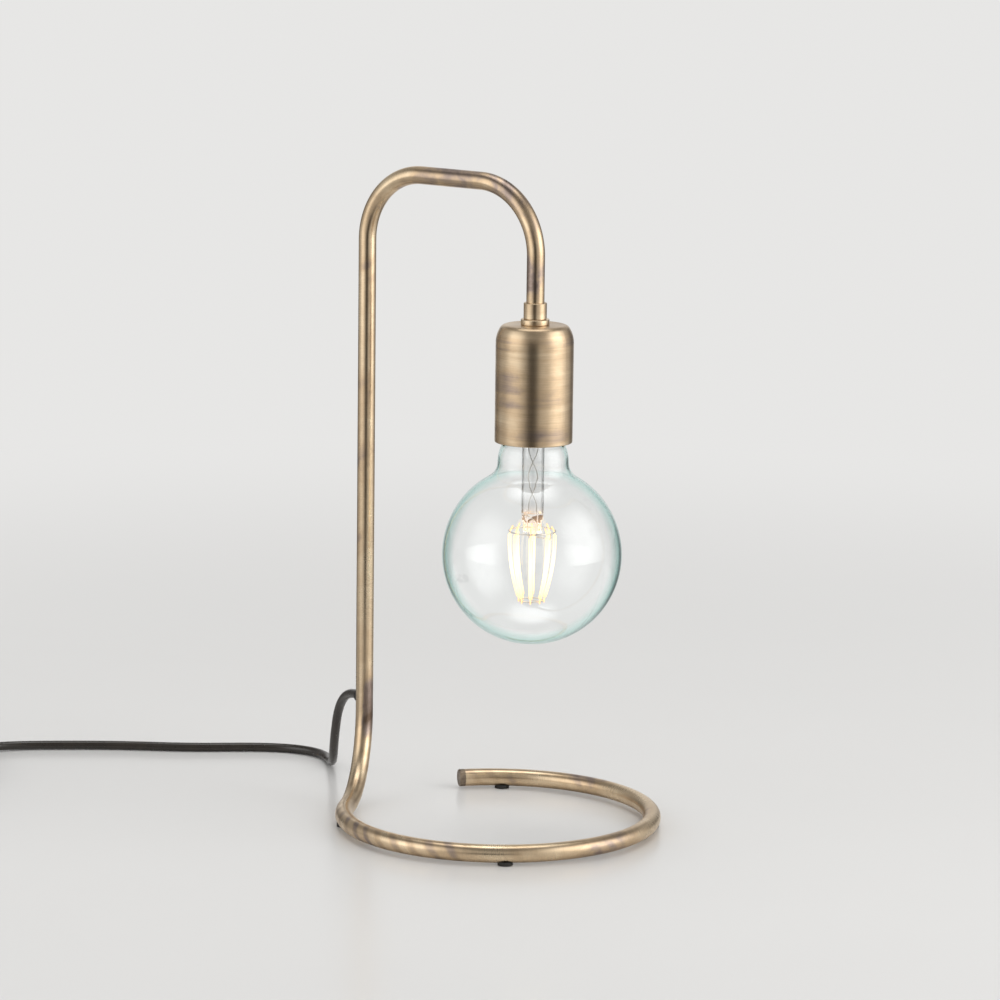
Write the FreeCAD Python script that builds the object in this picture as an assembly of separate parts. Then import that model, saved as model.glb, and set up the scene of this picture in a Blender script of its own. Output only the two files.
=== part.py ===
"""A bare bulb table lamp, bent from one brass tube, in millimetres.

The tube lies on the table as an open ring, turns up into a stem, arches over and drops to a lampholder
in a brass cup. +Z is up, the arm points along +X, and the origin is on the table, below the middle of
the lamp's box without its cord.
"""
import FreeCAD, Part
import math
import os

Vec = FreeCAD.Vector
UP = Vec(0, 0, 1)

# ---- Bent tube
tube_od = 9.5
tube_wall = 1.0
ring_radius = 82.5          # centre line of the base ring
ring_sweep = 293.0          # degrees of ring before the foot bend
foot_bend_radius = 44.0
arch_bend_radius = 37.0
overall_height = 350.0
arm_reach = 114.0           # stem axis to bulb axis
drop_length = 29.0          # straight tube below the arch
end_cap_head = 3.2
end_cap_spigot = 8.0
end_cap_chamfer = 0.4
spigot_bend_room = 0.65     # a straight spigot's radial play in the curved bore
pad_thickness = 1.2
pad_rise = 0.8              # how far the pad's edge comes up beside the tube
pad_diameter = 8.0
pad_places = (0.05, 0.35, 0.65, 0.95)   # shares of the ring's sweep

# ---- Clearances
slip = 0.05                 # fitted pieces that don't move
seat_gap = 0.02             # a curved seat
thread_slip = 0.05
moving_gap = 0.3            # pieces that move past each other
turning_gap = 0.15          # the bulb's cap around its own tip

# ---- Cable exit
cable_exit_height = 56.0
cable_exit_angle = 152.2    # degrees from +X, seen from above
bush_bore = 5.2
bush_wall = 0.65
bush_lip_diameter = 8.0
bush_lip = 1.2
bush_inset = 0.4            # how far the bush reaches into the tube's bore
cord_diameter = 5.0
core_diameter = 2.0
core_spacing = 2.4
core_set_back = 1.2         # cores run behind the stem's axis, away from the hole
core_rise = 20.0            # cores run up beside the hole before they swing to the axis
core_straighten_height = 200.0
core_swing_radius = 60.0
core_bend_radius = 1.3

# ---- Collar, washer, cover and nipple
collar_od = 12.2
collar_height = 8.6
collar_socket = 5.0
collar_chamfer = 0.3
washer_od = 15.1
washer_thickness = 3.0
cover_od = 41.0
cover_height = 62.0
cover_wall = 0.9
cover_corner_radius = 3.5   # tight arc beside the flat top
cover_corner_turn = 58.0    # degrees
cover_shoulder_radius = 15.0
nipple_od = 10.0
nipple_bore = 7.0
nipple_reach = 6.8          # nipple below the top of the lampholder
nipple_thread_depth = 0.5
locknut_flats = 14.0
locknut_thickness = 3.0
locknut_chamfer = 0.9       # at the corners' underside
toothed_washer_od = 15.5
toothed_washer_thickness = 0.8
toothed_washer_teeth = 10
tooth_notch_width = 1.2
tooth_notch_depth = 1.4

# ---- Lampholder
holder_od = 37.8
holder_wall = 1.8
dome_boss_od = 17.0
dome_boss_height = 5.8
dome_corner_radius = 8.0
dome_skirt = 8.2            # straight side below the dome's corner
joint_lap = 3.6             # skirt spigot inside the dome
lap_recess = 0.8            # how far the dome's wall is cut back for the spigot
spigot_wall = 2.2
holder_chamfer = 0.8
grub_diameter = 4.0
grub_slot_width = 0.7
grub_slot_depth = 0.9
block_side_gap = 0.2
block_thickness = 6.0
block_boss_diameter = 26.4
block_boss_height = 5.9
shell_inner_diameter = 27.2
shell_wall = 0.5
shell_height = 21.5
shell_top_drop = 2.5        # shell's top edge below the block's boss
skirt_height = 28.6
skirt_lip = 2.3
skirt_lip_room = 0.3        # around the bulb's thread
post_width = 6.0
post_depth = 5.0
post_height = 4.5
post_offset = 7.0
post_leg_diameter = 2.4
terminal_screw_diameter = 2.6
terminal_head_diameter = 3.8
terminal_head_height = 1.3
terminal_slot_width = 0.6
strap_width = 4.0
strap_thickness = 0.5
strap_inset = 0.1           # the strap's inner face inside the shell's wall
contact_width = 5.0
contact_thickness = 0.5
contact_root = -9.0         # ends and bends of the leaf, along Y from the axis
contact_bends = (-4.5, -2.5)
contact_end = 4.6

# ---- Thread between bulb and lampholder, seven turns to the inch
thread_pitch = 25.4 / 7
thread_turns_cap = 3.8
thread_turns_shell = 4.6
thread_depth_cap = 1.0
thread_depth_shell = 0.95
thread_base = 1.25          # half width of the ridge at its foot
thread_crest = 0.55         # half width of the ridge near its top
thread_root = 0.25          # how far a ridge is rooted in its wall
thread_lead_in = 0.4        # plain shell below the first ridge

# ---- Bulb
bulb_length = 139.0
globe_diameter = 95.0
glass_wall = 1.0
neck_diameter = 37.6        # where the fillet ends and the neck starts to close
neck_fillet = 9.0
neck_end_diameter = 25.4    # just below the cap
cap_core_diameter = 24.4
cap_wall = 0.4
cap_shell_length = 21.7
cap_skirt_flare = 0.9
cap_skirt_height = 2.2
cap_shoulder = 1.6
cap_cement_gap = 0.3        # around the glass in the cap
insulator_height = 4.0
insulator_depth = 1.2       # inside the shell's end
solder_hole_diameter = 1.2
contact_height = 1.2
contact_diameter = 9.4
glass_in_cap = 5.0
stem_tube_diameter = 11.9
stem_tube_wall = 0.8
stem_flare_height = 5.0
stem_flare_drop = 0.6       # flare's edge below the glass's end
press_top = 22.4            # above the globe's centre
press_bottom = 12.0
press_width = 10.2
press_thickness = 3.6
press_taper_height = 5.0
lead_wire_diameter = 0.6
lead_wire_offset = 2.6
lead_bend_radius = 0.8
twist_bottom = 27.6         # wires twist once round each other, heights above the globe's centre
twist_top = 61.6
filament_count = 8
filament_turn = 33.4        # degrees from +X to the first filament
filament_diameter = 1.7
filament_tab_diameter = 0.6
filament_path = ((10.2, 15.2), (11.6, 12.6), (11.9, 10.5), (10.9, -6.0), (7.0, -22.5), (6.7, -25.6))
ring_wire_diameter = 0.7
top_ring_height = 12.6      # above the globe's centre
bottom_ring_height = -24.7
driver_board_diameter = 20.0
driver_board_thickness = 1.2
driver_board_gap = 2.5      # above the glass's end
driver_lead_diameter = 0.7
capacitor_size = (6.4, 7.5)             # diameter and height
inductor_size = (4.8, 4.5)
chip_size = (4.0, 4.4, 1.6)

# ---- Cord on the table, hand-placed points of its route
cord_start = 1.5            # inside the stem, from its axis
cord_to_switch_points = (
    (-105.7, 9.3, 56.0), (-120.4, 16.8, 44.5), (-127.0, 21.0, 24.0), (-134.7, 29.2, 8.5),
    (-147.1, 42.3, 2.5), (-162.6, 54.4, 2.5), (-182.6, 54.3, 2.5), (-202.8, 42.8, 2.5),
    (-230.6, 16.6, 2.5), (-265.9, -6.4, 2.5), (-293.3, -29.7, 2.5), (-310.6, -46.3, 2.5),
    (-317.8, -64.9, 3.5), (-313.2, -87.1, 8.0), (-301.7, -102.2, 8.0))
cord_to_coil_points = (
    (-273.8, -138.8, 8.0), (-264.2, -151.6, 8.0), (-254.5, -164.3, 2.5), (-247.2, -173.9, 2.5))
coil_turns = 7.5
coil_layers = 4
coil_pitch = 5.5            # from turn to turn and from layer to layer
coil_least_radius = 22.5
cord_to_plug_points = (
    (-306.3, -202.4, 19.0), (-317.4, -190.5, 13.0), (-325.2, -179.0, 7.0), (-331.7, -168.9, 7.0))

# ---- Switch on the cord
switch_width = 24.0
switch_half_height = 8.5
switch_wall = 2.0
switch_corner = 9.0
switch_end_taper = 4.0      # each side, at the casing's ends
switch_edge_radius = 2.2
rocker_length = 14.0
rocker_swing_room = 0.8     # window beyond the rocker at each end
rocker_width = 10.0
rocker_proud = 2.2
rocker_tilt = 9.0           # degrees each way
rocker_pin_diameter = 2.0
rocker_pin_height = 12.6
rocker_pin_length = 16.2
rocker_below_pin = 2.6
rocker_valley = 1.3
rocker_flank_foot = 0.6     # the flank starts below the cover's face
rocker_foot_inset = 2.5
rocker_draft = 0.3
rocker_edge_radius = 0.5
ear_width = 5.0
ear_below_pin = 1.9
cord_in_switch = 6.0        # the cord's ends lie this far inside the casing
switch_screw_diameter = 2.6
switch_screw_head = 5.0
switch_screw_head_height = 1.1
switch_screw_place = 19.0   # from the middle, along the switch
screw_boss_wall = 1.6
screw_slot = (3.2, 0.7, 0.7)            # length, width and depth
saddle_size = (3.0, 9.0)
saddle_place = 1.2          # from the casing's end wall
strip_size = (14.0, 3.0, 0.6)
strip_upright = 4.0
strip_spacing = 9.0
contact_button_diameter = 2.8
contact_button_height = 1.2
contact_button_place = 3.0

# ---- Plug
plug_length = 35.0
plug_width = 26.0
plug_thickness = 14.0
plug_tail_end = 7.8         # width and height of the tail where the cord enters
plug_neck_diameter = 10.0
plug_tail_corner = 3.1
plug_neck_place = 10.0
plug_waist_place = 20.0
plug_waist_inset = 3.6
plug_waist_drop = 0.6
plug_front_length = 6.0
plug_corner = 4.0
plug_pin_diameter = 4.0
plug_pin_length = 19.0
plug_pin_spacing = 19.0
plug_pin_root = 8.0
plug_root_diameter = 3.0
plug_tip_round = 1.2

# ---- Places worked out from the sizes above
tube_r = tube_od / 2
bore_r = tube_r - tube_wall
ring_z = pad_thickness + tube_r
stem_offset = math.hypot(ring_radius, foot_bend_radius)
ring_x = (stem_offset - ring_radius) / 2
stem_x = ring_x - stem_offset
switch_length = math.dist(cord_to_switch_points[-1], cord_to_coil_points[0]) + 2 * cord_in_switch
top_z = overall_height - tube_r
bulb_x = stem_x + arm_reach
ring_end_angle = -180 + math.degrees(math.atan2(foot_bend_radius, ring_radius))
ring_start_angle = ring_end_angle + ring_sweep
drop_end_z = top_z - arch_bend_radius - drop_length
collar_bottom_z = drop_end_z + collar_socket - collar_height
cover_top_z = collar_bottom_z - washer_thickness
cover_rim_z = cover_top_z - cover_height + cover_wall / 2
nut_top_z = cover_top_z - cover_wall
boss_top_z = nut_top_z - locknut_thickness - toothed_washer_thickness
dome_top_z = boss_top_z - dome_boss_height
dome_corner_z = dome_top_z - dome_corner_radius
dome_rim_z = dome_corner_z - dome_skirt
spigot_top_z = dome_rim_z + joint_lap
block_bottom_z = spigot_top_z + slip
block_top_z = block_bottom_z + block_thickness
contact_face_z = block_bottom_z - block_boss_height
tip_z = contact_face_z - 3 * contact_thickness - moving_gap
shell_top_z = contact_face_z - shell_top_drop
shell_bottom_z = shell_top_z - shell_height
skirt_top_z = dome_rim_z - slip
skirt_bottom_z = skirt_top_z - skirt_height
globe_z = tip_z - bulb_length + globe_diameter / 2
cap_top_z = tip_z - contact_height - insulator_height
cap_bottom_z = cap_top_z - cap_shell_length
exit_dir = Vec(math.cos(math.radians(cable_exit_angle)), math.sin(math.radians(cable_exit_angle)), 0)
exit_side = Vec(exit_dir.y, -exit_dir.x, 0)
exit_point = Vec(stem_x, 0, cable_exit_height)

os.makedirs("parts", exist_ok=True)


# ---- Helpers
def export(shape, node):
    """Write one sub-part to its own file."""
    shape.exportStep("parts/" + node + ".step")


def vec(point):
    return Vec(*point)


def flat(point):
    """A (radius, z) point in the plane of the axis."""
    return Vec(point[0], 0, point[1])


def turned(profile_points, x=bulb_x, y=0.0):
    """Solid of revolution about a vertical axis. A step is a (radius, z) point or ("arc", middle, end)."""
    edges = []
    here = profile_points[0]
    for step in profile_points[1:] + [profile_points[0]]:
        if step[0] == "arc":
            mid, end = step[1], step[2]
            edges.append(Part.Arc(flat(here), flat(mid), flat(end)).toShape())
            here = end
        elif math.dist(here, step) > 1e-6:
            edges.append(Part.LineSegment(flat(here), flat(step)).toShape())
            here = step
    solid = Part.Face(Part.Wire(edges)).revolve(Vec(0, 0, 0), UP, 360)
    solid = Part.Solid(solid) if solid.ShapeType != "Solid" else solid
    solid.translate(Vec(x, y, 0))
    return solid


def cylinder(radius, bottom, direction, length):
    return Part.makeCylinder(radius, length, bottom, direction)


def tube_ring(r_out, r_in, z0, z1, x=bulb_x):
    return turned([(r_in, z0), (r_out, z0), (r_out, z1), (r_in, z1)], x)


def corner_arc(before, corner, after, radius):
    """Start, middle and end of the arc of a given radius that rounds a corner."""
    to_start = (before - corner).normalize()
    to_end = (after - corner).normalize()
    half = to_start.getAngle(to_end) / 2
    reach = radius / math.tan(half)
    middle_line = (to_start + to_end).normalize()
    centre = corner + middle_line * (radius / math.sin(half))
    return corner + to_start * reach, centre - middle_line * radius, corner + to_end * reach


def cord_radius(before, corner, after):
    """The largest arc that two runs of a cord leave room for."""
    shorter = min((corner - before).Length, (after - corner).Length)
    half_turn = (corner - before).getAngle(after - corner) / 2
    return 0.45 * shorter / math.tan(half_turn)


def rounded_path(points, last_radii=()):
    """Straight runs joined by tangent arcs, as large as their runs allow but for the last ones given."""
    first_given = len(points) - 1 - len(last_radii)
    edges, here, used = [], points[0], []
    for i in range(1, len(points) - 1):
        before, corner, after = points[i - 1], points[i], points[i + 1]
        given = i >= first_given
        radius = last_radii[i - first_given] if given else cord_radius(before, corner, after)
        start, middle, end = corner_arc(before, corner, after, radius)
        if (start - here).Length > 1e-6:
            edges.append(Part.LineSegment(here, start).toShape())
        edges.append(Part.Arc(start, middle, end).toShape())
        here = end
        used.append(radius)
    edges.append(Part.LineSegment(here, points[-1]).toShape())
    return edges, used


def pipe(edges, radius):
    """A round bar along a chain of edges."""
    start = edges[0].valueAt(edges[0].FirstParameter)
    heading = edges[0].tangentAt(edges[0].FirstParameter)
    section = Part.Wire(Part.makeCircle(radius, start, heading))
    return Part.Wire(edges).makePipeShell([section], True, False)


def solids_of(shape):
    return shape.Solids[0] if len(shape.Solids) == 1 else shape


def helical_ridge(root_radius, foot_radius, crest_radius, z0, turns):
    """A thread's ridge with a rounded crest, rooted in the wall whose face is at foot_radius."""
    flank_end = foot_radius + 0.8 * (crest_radius - foot_radius)
    slope = (thread_base - thread_crest) / (flank_end - foot_radius)
    wide = thread_base + slope * (foot_radius - root_radius)
    low, high = Vec(root_radius, 0, -wide), Vec(root_radius, 0, wide)
    under, over = Vec(flank_end, 0, -thread_crest), Vec(flank_end, 0, thread_crest)
    edges = [Part.LineSegment(low, under).toShape(), Part.Arc(under, Vec(crest_radius, 0, 0), over).toShape(),
             Part.LineSegment(over, high).toShape(), Part.LineSegment(high, low).toShape()]
    helix = Part.makeHelix(thread_pitch, thread_pitch * turns, root_radius)
    ridge = Part.Wire(helix.Edges).makePipeShell([Part.Wire(edges)], True, True)
    ridge.translate(Vec(bulb_x, 0, z0))
    return ridge


# ---- The bent tube and what is on it
def ring_point(angle, radius=ring_radius, z=ring_z):
    a = math.radians(angle)
    return Vec(ring_x + radius * math.cos(a), radius * math.sin(a), z)


def tube_path():
    """Centre line: ring, foot bend, stem, arch, arm, arch and drop."""
    middle_angle = (ring_start_angle + ring_end_angle) / 2
    ring_end = ring_point(ring_end_angle)
    ring = Part.Arc(ring_point(ring_start_angle), ring_point(middle_angle), ring_end).toShape()
    a = math.radians(ring_end_angle)
    heading = Vec(math.sin(a), -math.cos(a), 0)
    bend_centre = ring_end + UP * foot_bend_radius
    stem_foot = bend_centre + heading * foot_bend_radius
    bend_middle = bend_centre + (heading - UP) * (foot_bend_radius / math.sqrt(2))
    foot = Part.Arc(ring_end, bend_middle, stem_foot).toShape()
    upper, _ = rounded_path(
        [stem_foot, Vec(stem_x, 0, top_z), Vec(bulb_x, 0, top_z), Vec(bulb_x, 0, drop_end_z)],
        [arch_bend_radius, arch_bend_radius])
    return [ring, foot] + upper


def lamp_tube():
    path = tube_path()
    tube = pipe(path, tube_r).cut(pipe(path, bore_r))
    hole = cylinder(bush_bore / 2 + bush_wall + slip, exit_point, exit_dir, tube_od)
    return solids_of(tube.cut(hole))


def tube_end_cap():
    """A flush plug: its head continues the tube, its spigot sits in the bore."""
    a = math.radians(ring_start_angle)
    outward = Vec(-math.sin(a), math.cos(a), 0)
    end = ring_point(ring_start_angle)
    head = cylinder(tube_r, end, outward, end_cap_head)
    rim = [e for e in head.Edges if e.Closed and e.CenterOfMass.distanceToPoint(end) > 1]
    head = head.makeChamfer(end_cap_chamfer, rim)
    spigot = cylinder(bore_r - spigot_bend_room, end - outward * end_cap_spigot, outward, end_cap_spigot)
    return solids_of(head.fuse(spigot).removeSplitter())


def foot_pads():
    """Round pads whose tops are hollowed to the tube."""
    pads = []
    torus = Part.makeTorus(ring_radius, tube_r + seat_gap, Vec(ring_x, 0, ring_z), UP)
    for place in pad_places:
        at = ring_point(ring_start_angle - place * ring_sweep, z=0)
        disc = cylinder(pad_diameter / 2, at, UP, pad_thickness + pad_rise)
        pads.append(solids_of(disc.cut(torus)))
    return Part.makeCompound(pads)


def cable_bush():
    bore, barrel = bush_bore / 2, bush_bore / 2 + bush_wall
    inside = exit_point + exit_dir * (bore_r - bush_inset)
    reach = tube_r + bush_lip - (bore_r - bush_inset)
    body = cylinder(barrel, inside, exit_dir, reach)
    lip = cylinder(bush_lip_diameter / 2, exit_point, exit_dir, tube_r + bush_lip)
    lip = lip.cut(cylinder(tube_r + seat_gap, exit_point - UP * tube_od, UP, 2 * tube_od))
    lip = max(lip.Solids, key=lambda s: s.CenterOfMass.distanceToPoint(exit_point))
    whole = body.fuse(lip).cut(cylinder(bore, exit_point, exit_dir, 2 * tube_od))
    return solids_of(whole.removeSplitter())


def tube_collar():
    top = collar_bottom_z + collar_height
    r, c = collar_od / 2, collar_chamfer
    tapped = nipple_od / 2 + thread_slip - nipple_thread_depth
    socket = tube_r + slip
    low = collar_bottom_z
    return turned([(tapped, low), (r - c, low), (r, low + c), (r, top - c), (r - c, top), (socket, top),
                   (socket, drop_end_z), (tapped, drop_end_z)])


def check_washer():
    low, high = cover_top_z, collar_bottom_z
    r, c = washer_od / 2, collar_chamfer
    hole = nipple_od / 2 + thread_slip
    return turned([(hole, low), (r - c, low), (r, low + c), (r, high - c), (r - c, high), (hole, high)])


def cover_profile(offset):
    """Outer line of the cup from rim to flat top, moved inward by offset."""
    r = cover_od / 2
    turn = math.radians(cover_corner_turn)
    c1, c2 = cover_corner_radius, cover_shoulder_radius
    shoulder_x = r - c2
    corner_x = shoulder_x + (c2 - c1) * math.sin(turn)
    corner_z = cover_top_z - c1
    shoulder_z = corner_z - (c2 - c1) * math.cos(turn)
    a1, a2 = c1 - offset, c2 - offset
    low = (r - offset, shoulder_z)
    join = (corner_x + a1 * math.sin(turn), corner_z + a1 * math.cos(turn))
    mid_2 = math.radians((90 + cover_corner_turn) / 2)
    mid_1 = math.radians(cover_corner_turn / 2)
    middle_low = (shoulder_x + a2 * math.sin(mid_2), shoulder_z + a2 * math.cos(mid_2))
    middle_high = (corner_x + a1 * math.sin(mid_1), corner_z + a1 * math.cos(mid_1))
    top = (corner_x, corner_z + a1)
    return low, middle_low, join, middle_high, top


def holder_cover():
    r = cover_od / 2
    low, mid_low, join, mid_high, top = cover_profile(0)
    low_i, mid_low_i, join_i, mid_high_i, top_i = cover_profile(cover_wall)
    hole = nipple_od / 2 + thread_slip
    inner = r - cover_wall
    rim_mid = (r - cover_wall / 2, cover_rim_z - cover_wall / 2)
    return turned([(inner, cover_rim_z), ("arc", rim_mid, (r, cover_rim_z)), low, ("arc", mid_low, join),
                   ("arc", mid_high, top), (hole, cover_top_z), (hole, nut_top_z), top_i,
                   ("arc", mid_high_i, join_i), ("arc", mid_low_i, low_i)])


def threaded_nipple():
    top = drop_end_z - slip
    bottom = boss_top_z - nipple_reach
    in_collar = nipple_od / 2 - nipple_thread_depth
    return turned([(nipple_bore / 2, bottom), (nipple_od / 2, bottom), (nipple_od / 2, collar_bottom_z),
                   (in_collar, collar_bottom_z), (in_collar, top), (nipple_bore / 2, top)])


def nipple_locknut():
    corner = locknut_flats / 2 / math.cos(math.radians(30))
    turns = [math.radians(60 * i) for i in range(7)]
    points = [Vec(bulb_x + corner * math.cos(a), corner * math.sin(a), nut_top_z) for a in turns]
    nut = Part.Face(Part.makePolygon(points)).extrude(UP * -locknut_thickness)
    low, wide, c = nut_top_z - locknut_thickness, corner + slip, locknut_chamfer
    dish = turned([(0, low), (corner - c, low), (wide, low + c / 2), (wide, nut_top_z), (0, nut_top_z)])
    hole = cylinder(nipple_od / 2 + thread_slip, Vec(bulb_x, 0, low), UP, locknut_thickness)
    return solids_of(nut.common(dish).cut(hole))


def toothed_washer():
    r, hole = toothed_washer_od / 2, nipple_od / 2 + thread_slip
    washer = tube_ring(r, hole, boss_top_z, boss_top_z + toothed_washer_thickness)
    for i in range(toothed_washer_teeth):
        a = math.radians(360 / toothed_washer_teeth * i)
        notch_at = Vec(r - tooth_notch_depth, -tooth_notch_width / 2, boss_top_z)
        notch = Part.makeBox(2 * tooth_notch_depth, tooth_notch_width, toothed_washer_thickness, notch_at)
        notch.rotate(Vec(0, 0, 0), UP, math.degrees(a))
        notch.translate(Vec(bulb_x, 0, 0))
        washer = washer.cut(notch)
    return solids_of(washer)


# ---- Lampholder
def holder_dome():
    r, boss = holder_od / 2, dome_boss_od / 2
    inner = r - holder_wall
    hole = nipple_od / 2 + thread_slip
    level = r - dome_corner_radius
    small = dome_corner_radius - holder_wall
    large_mid = dome_corner_radius * math.sqrt(0.5)
    small_mid = small * math.sqrt(0.5)
    lap_r = inner + lap_recess
    c = holder_chamfer
    dome = turned([(lap_r, dome_rim_z), (r, dome_rim_z), (r, dome_corner_z),
                   ("arc", (level + large_mid, dome_corner_z + large_mid), (level, dome_top_z)),
                   (boss, dome_top_z), (boss, boss_top_z - c), (boss - c, boss_top_z), (hole, boss_top_z),
                   (hole, dome_top_z - holder_wall), (level, dome_top_z - holder_wall),
                   ("arc", (level + small_mid, dome_corner_z + small_mid), (inner, dome_corner_z)),
                   (inner, spigot_top_z + slip), (lap_r, spigot_top_z + slip)])
    screw_hole = cylinder(grub_diameter / 2 + slip, Vec(bulb_x, 0, grub_z()), Vec(1, 0, 0), boss + 1)
    return solids_of(dome.cut(screw_hole))


def grub_z():
    return (dome_top_z + boss_top_z) / 2


def dome_grub_screw():
    start = nipple_od / 2 + slip
    length = dome_boss_od / 2 - start
    screw = cylinder(grub_diameter / 2, Vec(bulb_x + start, 0, grub_z()), Vec(1, 0, 0), length)
    slot_x = bulb_x + dome_boss_od / 2 - grub_slot_depth
    slot_at = Vec(slot_x, -grub_diameter / 2, grub_z() - grub_slot_width / 2)
    slot = Part.makeBox(2 * grub_slot_depth, grub_diameter, grub_slot_width, slot_at)
    return solids_of(screw.cut(slot))


def terminal_block():
    r = holder_od / 2 - holder_wall - block_side_gap
    boss = block_boss_diameter / 2
    block = turned([(0, contact_face_z), (boss, contact_face_z), (boss, block_bottom_z), (r, block_bottom_z),
                    (r, block_top_z), (0, block_top_z)])
    height = block_top_z - contact_face_z
    leg = cylinder(post_leg_diameter / 2 + slip, Vec(bulb_x, -post_offset, contact_face_z), UP, height)
    slot_at = Vec(bulb_x - strap_width / 2 - 2 * slip, strap_y() - 2 * slip, contact_face_z)
    slot = Part.makeBox(strap_width + 4 * slip, strap_thickness + 4 * slip, height, slot_at)
    return solids_of(block.cut(leg).cut(slot))


def strap_y():
    """Inner face of the strap that stands on the threaded shell's edge."""
    return shell_inner_diameter / 2 - strap_inset


def terminal_posts():
    """Two clamping blocks on top of the insulator, the first with a leg down to the centre contact."""
    posts = []
    for side in (-1, 1):
        y0 = side * post_offset - post_depth / 2
        post_at = Vec(bulb_x - post_width / 2, y0, block_top_z)
        post = Part.makeBox(post_width, post_depth, post_height, post_at)
        if side < 0:
            leg_bottom = Vec(bulb_x, -post_offset, contact_face_z)
            post = post.fuse(cylinder(post_leg_diameter / 2, leg_bottom, UP, block_top_z - contact_face_z))
        middle = Vec(bulb_x, side * post_offset, post_wire_z())
        axis = Vec(bulb_x, 0, post_wire_z())
        wire_hole = cylinder(core_diameter / 2 + slip, axis, Vec(0, side, 0), post_offset)
        screw_hole = cylinder(terminal_screw_diameter / 2 + slip, middle, Vec(1, 0, 0), post_width)
        posts.append(solids_of(post.cut(wire_hole).cut(screw_hole).removeSplitter()))
    return Part.makeCompound(posts)


def post_wire_z():
    return block_top_z + post_height / 2


def terminal_screws():
    screws = []
    for side in (-1, 1):
        reach = core_diameter / 2 + 2 * slip
        start = Vec(bulb_x + reach, side * post_offset, post_wire_z())
        shank = cylinder(terminal_screw_diameter / 2, start, Vec(1, 0, 0), post_width / 2 - reach)
        head_at = Vec(bulb_x + post_width / 2, side * post_offset, post_wire_z())
        head = cylinder(terminal_head_diameter / 2, head_at, Vec(1, 0, 0), terminal_head_height)
        slot_at = head_at + Vec(terminal_head_height / 2, -terminal_head_diameter, -terminal_slot_width / 2)
        slot = Part.makeBox(terminal_head_height, 2 * terminal_head_diameter, terminal_slot_width, slot_at)
        screws.append(solids_of(shank.fuse(head).cut(slot).removeSplitter()))
    return Part.makeCompound(screws)


def thread_shell():
    """Brass shell with the lampholder's inward thread."""
    inner = shell_inner_diameter / 2
    outer = inner + shell_wall
    wall = tube_ring(outer, inner, shell_bottom_z, shell_top_z)
    start_z = shell_thread_start()
    crest = inner - thread_depth_shell
    ridge = helical_ridge(inner + thread_root, inner, crest, start_z, thread_turns_shell)
    return solids_of(wall.fuse(ridge).removeSplitter())


def shell_thread_start():
    return shell_bottom_z + thread_base + thread_lead_in


def shell_strap():
    """Side contact: from the shell's edge up through the insulator to its post."""
    y = strap_y()
    x0 = bulb_x - strap_width / 2
    height = block_top_z + strap_thickness - shell_top_z
    upright = Part.makeBox(strap_width, strap_thickness, height, Vec(x0, y, shell_top_z))
    post_edge = post_offset + post_depth / 2
    foot = Part.makeBox(strap_width, y - post_edge, strap_thickness, Vec(x0, post_edge, block_top_z))
    return solids_of(upright.fuse(foot).removeSplitter())


def centre_contact_spring():
    """Bent leaf under the insulator that presses on the bulb's tip."""
    z, t = contact_face_z, contact_thickness
    root, end, (bend, foot) = contact_root, contact_end, contact_bends
    outline = [(root, z), (root, z - t), (bend, z - t), (foot, z - 3 * t), (end - t, z - 3 * t),
               (end, z - 2.5 * t), (end - t / 2, z - 2 * t), (foot + t / 2, z - 2 * t), (bend + t / 2, z)]
    points = [Vec(bulb_x - contact_width / 2, y, h) for y, h in outline]
    return Part.Face(Part.makePolygon(points + points[:1])).extrude(Vec(contact_width, 0, 0))


def holder_skirt():
    r = holder_od / 2
    bore = shell_inner_diameter / 2 + shell_wall + slip
    spigot = r - holder_wall + lap_recess - slip
    spigot_in = spigot - spigot_wall
    lip = shell_inner_diameter / 2 + skirt_lip_room
    lip_top = skirt_bottom_z + skirt_lip
    low, ledge, c = skirt_bottom_z, shell_top_z + slip, holder_chamfer
    return turned([(lip, low), (r - c, low), (r, low + c), (r, skirt_top_z), (spigot, skirt_top_z),
                   (spigot, spigot_top_z), (spigot_in, spigot_top_z), (spigot_in, ledge), (bore, ledge),
                   (bore, lip_top), (lip, lip_top)])


def inner_core(side):
    """One insulated core, from the cord's end in the stem, up and over, to its terminal post."""
    half = core_spacing / 2 * side
    foot = exit_point + exit_side * half
    y = half
    points = [foot + exit_dir * (cord_start - slip), foot - exit_dir * core_set_back,
              foot - exit_dir * core_set_back + UP * core_rise, Vec(stem_x, y, core_straighten_height),
              Vec(stem_x, y, top_z), Vec(bulb_x, y, top_z), Vec(bulb_x, y, post_wire_z()),
              Vec(bulb_x, side * (post_offset - core_diameter / 2), post_wire_z())]
    swing, bend = core_swing_radius, core_bend_radius
    radii = [bend, swing, swing, arch_bend_radius, arch_bend_radius, bend]
    path, _ = rounded_path(points, radii)
    return solids_of(pipe(path, core_diameter / 2))


# ---- Bulb
def in_globe(height):
    """Height above the table of a height above the globe's centre."""
    return globe_z + height


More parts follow.
